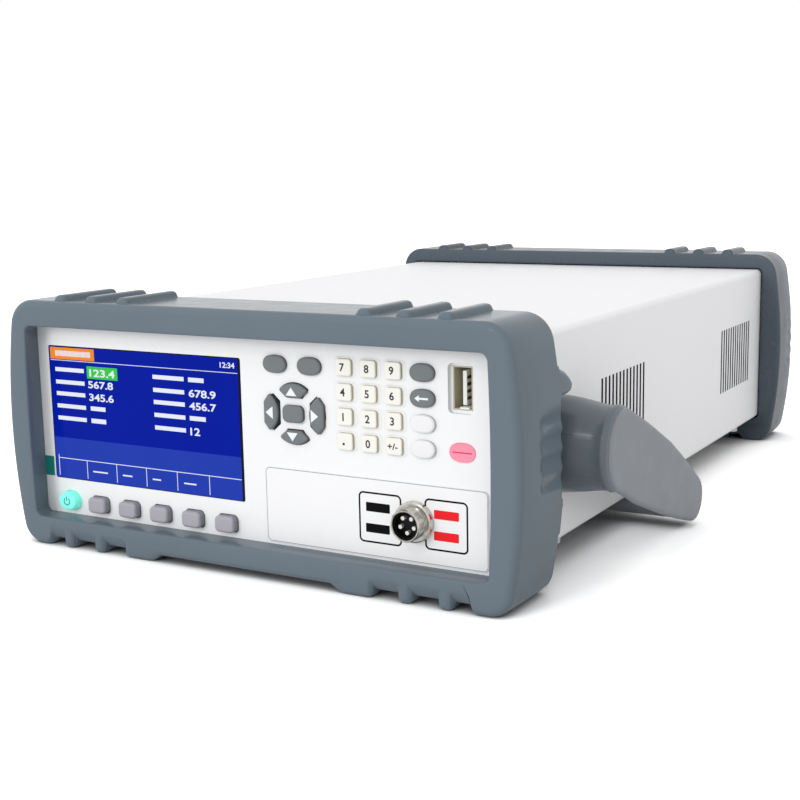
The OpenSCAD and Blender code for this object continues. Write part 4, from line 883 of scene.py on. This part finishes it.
looks = dict(
    top_cover="casePaint", bottom_tray="steel", front_panel="panel", rear_panel="casePaint",
    display_window="window", lcd_module="screen", keypad_board="board", terminal_plate="plate",
    result_lamp="lamp", socket_insert="black", socket_pins="pinMetal", socket_nut="nickel",
    usb_shell="usbMetal", usb_tongue="white", main_board="board", power_supply="supply",
    board_screws="steel", mains_inlet="black", fuse_drawer="black", serial_port="nickel",
    handler_port="nickel", earth_post="brass", cover_screws="steel", bumper_screws="steel",
    handle_pivots="steel", handle_grip="handle",
)
for name, obj in nodes.items():
    look = finishes[looks.get(name, "panel")]
    if not obj.material_slots:
        obj.data.materials.append(look)
    for place in obj.material_slots:
        place.material = look
print("finishes set on the CAD parts")


# the floor, the light and the camera

light = dict(world=0.9, sun=1.08, sunAngle=25, sunFrom=(-0.35, -1.0, 0.3), floorGain=1.52, floorReach=0.024,
             floorDark=0.3, glint=0.8, glintSize=0.12, glintAt=(0.015, -1.07, 0.77),
             glintTo=(0.122, -0.138, 0.058))


def setFloor():
    # a wide sheet of paper, brighter to the camera than to the object above it
    mesh = bpy.data.meshes.new("studioFloor")
    mesh.from_pydata([(-30, -30, 0), (30, -30, 0), (30, 60, 0), (-30, 60, 0)], [], [(0, 1, 2, 3)])
    floor = bpy.data.objects.new("studioFloor", mesh)
    bpy.context.scene.collection.objects.link(floor)
    mat = bpy.data.materials.new("studioPaper")
    mat.use_nodes = True
    tree = mat.node_tree
    tree.nodes.remove(tree.nodes["Principled BSDF"])
    plain = tree.nodes.new("ShaderNodeBsdfDiffuse")
    plain.inputs["Color"].default_value = (0.8, 0.8, 0.8, 1)
    seen = tree.nodes.new("ShaderNodeBsdfDiffuse")
    gain = light["floorGain"]
    # the seen paper darkens where the object shuts off the sky close by
    nearness = tree.nodes.new("ShaderNodeAmbientOcclusion")
    nearness.inputs["Distance"].default_value = light["floorReach"]
    whiten = tree.nodes.new("ShaderNodeMapRange")
    whiten.inputs["From Min"].default_value = 0.1
    whiten.inputs["From Max"].default_value = 0.6
    whiten.inputs["To Min"].default_value = light["floorDark"]
    whiten.inputs["To Max"].default_value = gain
    tree.links.new(nearness.outputs["AO"], whiten.inputs["Value"])
    tree.links.new(whiten.outputs["Result"], seen.inputs["Color"])
    path = tree.nodes.new("ShaderNodeLightPath")
    pick = tree.nodes.new("ShaderNodeMixShader")
    tree.links.new(path.outputs["Is Camera Ray"], pick.inputs[0])
    tree.links.new(plain.outputs[0], pick.inputs[1])
    tree.links.new(seen.outputs[0], pick.inputs[2])
    tree.links.new(pick.outputs[0], tree.nodes["Material Output"].inputs["Surface"])
    mesh.materials.append(mat)


def setWorld():
    # the camera, mirrors and clear parts see plain white, and the object is lit a little less
    world = bpy.data.worlds.new("studio")
    bpy.context.scene.world = world
    world.use_nodes = True
    tree = world.node_tree
    dim = tree.nodes["Background"]
    dim.inputs["Color"].default_value = (1, 1, 1, 1)
    dim.inputs["Strength"].default_value = light["world"]
    white = tree.nodes.new("ShaderNodeBackground")
    white.inputs["Color"].default_value = (1, 1, 1, 1)
    white.inputs["Strength"].default_value = 1
    path = tree.nodes.new("ShaderNodeLightPath")
    total = path.outputs["Is Camera Ray"]
    for other in ("Is Glossy Ray", "Is Transmission Ray"):
        both = tree.nodes.new("ShaderNodeMath")
        both.operation = "MAXIMUM"
        tree.links.new(total, both.inputs[0])
        tree.links.new(path.outputs[other], both.inputs[1])
        total = both.outputs[0]
    pick = tree.nodes.new("ShaderNodeMixShader")
    tree.links.new(total, pick.inputs[0])
    tree.links.new(dim.outputs[0], pick.inputs[1])
    tree.links.new(white.outputs[0], pick.inputs[2])
    tree.links.new(pick.outputs[0], tree.nodes["World Output"].inputs["Surface"])


def setLamps():
    lamp = bpy.data.lights.new("keyLight", "SUN")
    lamp.energy = light["sun"]
    lamp.angle = math.radians(light["sunAngle"])
    key = bpy.data.objects.new("keyLight", lamp)
    key.rotation_euler = Vector(light["sunFrom"]).to_track_quat("Z", "Y").to_euler()
    # the lamp stands low in front, and from behind its mirror image would whiten every flat top
    key.visible_glossy = False
    bpy.context.scene.collection.objects.link(key)
    soft = bpy.data.lights.new("glintLight", "AREA")
    soft.energy = light["glint"]
    soft.size = light["glintSize"]
    glint = bpy.data.objects.new("glintLight", soft)
    glint.location = light["glintAt"]
    aim = Vector(light["glintAt"]) - Vector(light["glintTo"])
    glint.rotation_euler = aim.to_track_quat("Z", "Y").to_euler()
    bpy.context.scene.collection.objects.link(glint)


view = dict(lens=60.353, azimuth=30.1568, elevation=10.0368, roll=-1.0994, place=(302.19, -396.03, 155.23))


def setCamera():
    # the place and the turns that were fitted to the photograph's straight edges
    az, el, ro = (math.radians(view[k]) for k in ("azimuth", "elevation", "roll"))
    back = np.array([math.sin(az) * math.cos(el), -math.cos(az) * math.cos(el), math.sin(el)])
    right = np.array([math.cos(az), math.sin(az), 0.0])
    up = np.cross(back, right)
    across = right * math.cos(ro) + up * math.sin(ro)
    upward = up * math.cos(ro) - right * math.sin(ro)
    data = bpy.data.cameras.new("photoCamera")
    data.lens = view["lens"]
    data.sensor_width = 36
    camera = bpy.data.objects.new("photoCamera", data)
    bpy.context.scene.collection.objects.link(camera)
    axes = np.eye(4)
    axes[:3, 0], axes[:3, 1], axes[:3, 2], axes[:3, 3] = across, upward, back, toRow(view["place"])
    camera.matrix_world = Matrix(axes.tolist())
    bpy.context.scene.camera = camera


setFloor()
setWorld()
setLamps()
setCamera()
bpy.context.scene.view_settings.view_transform = "Standard"
print("floor, light and camera set")

bpy.context.view_layer.update()
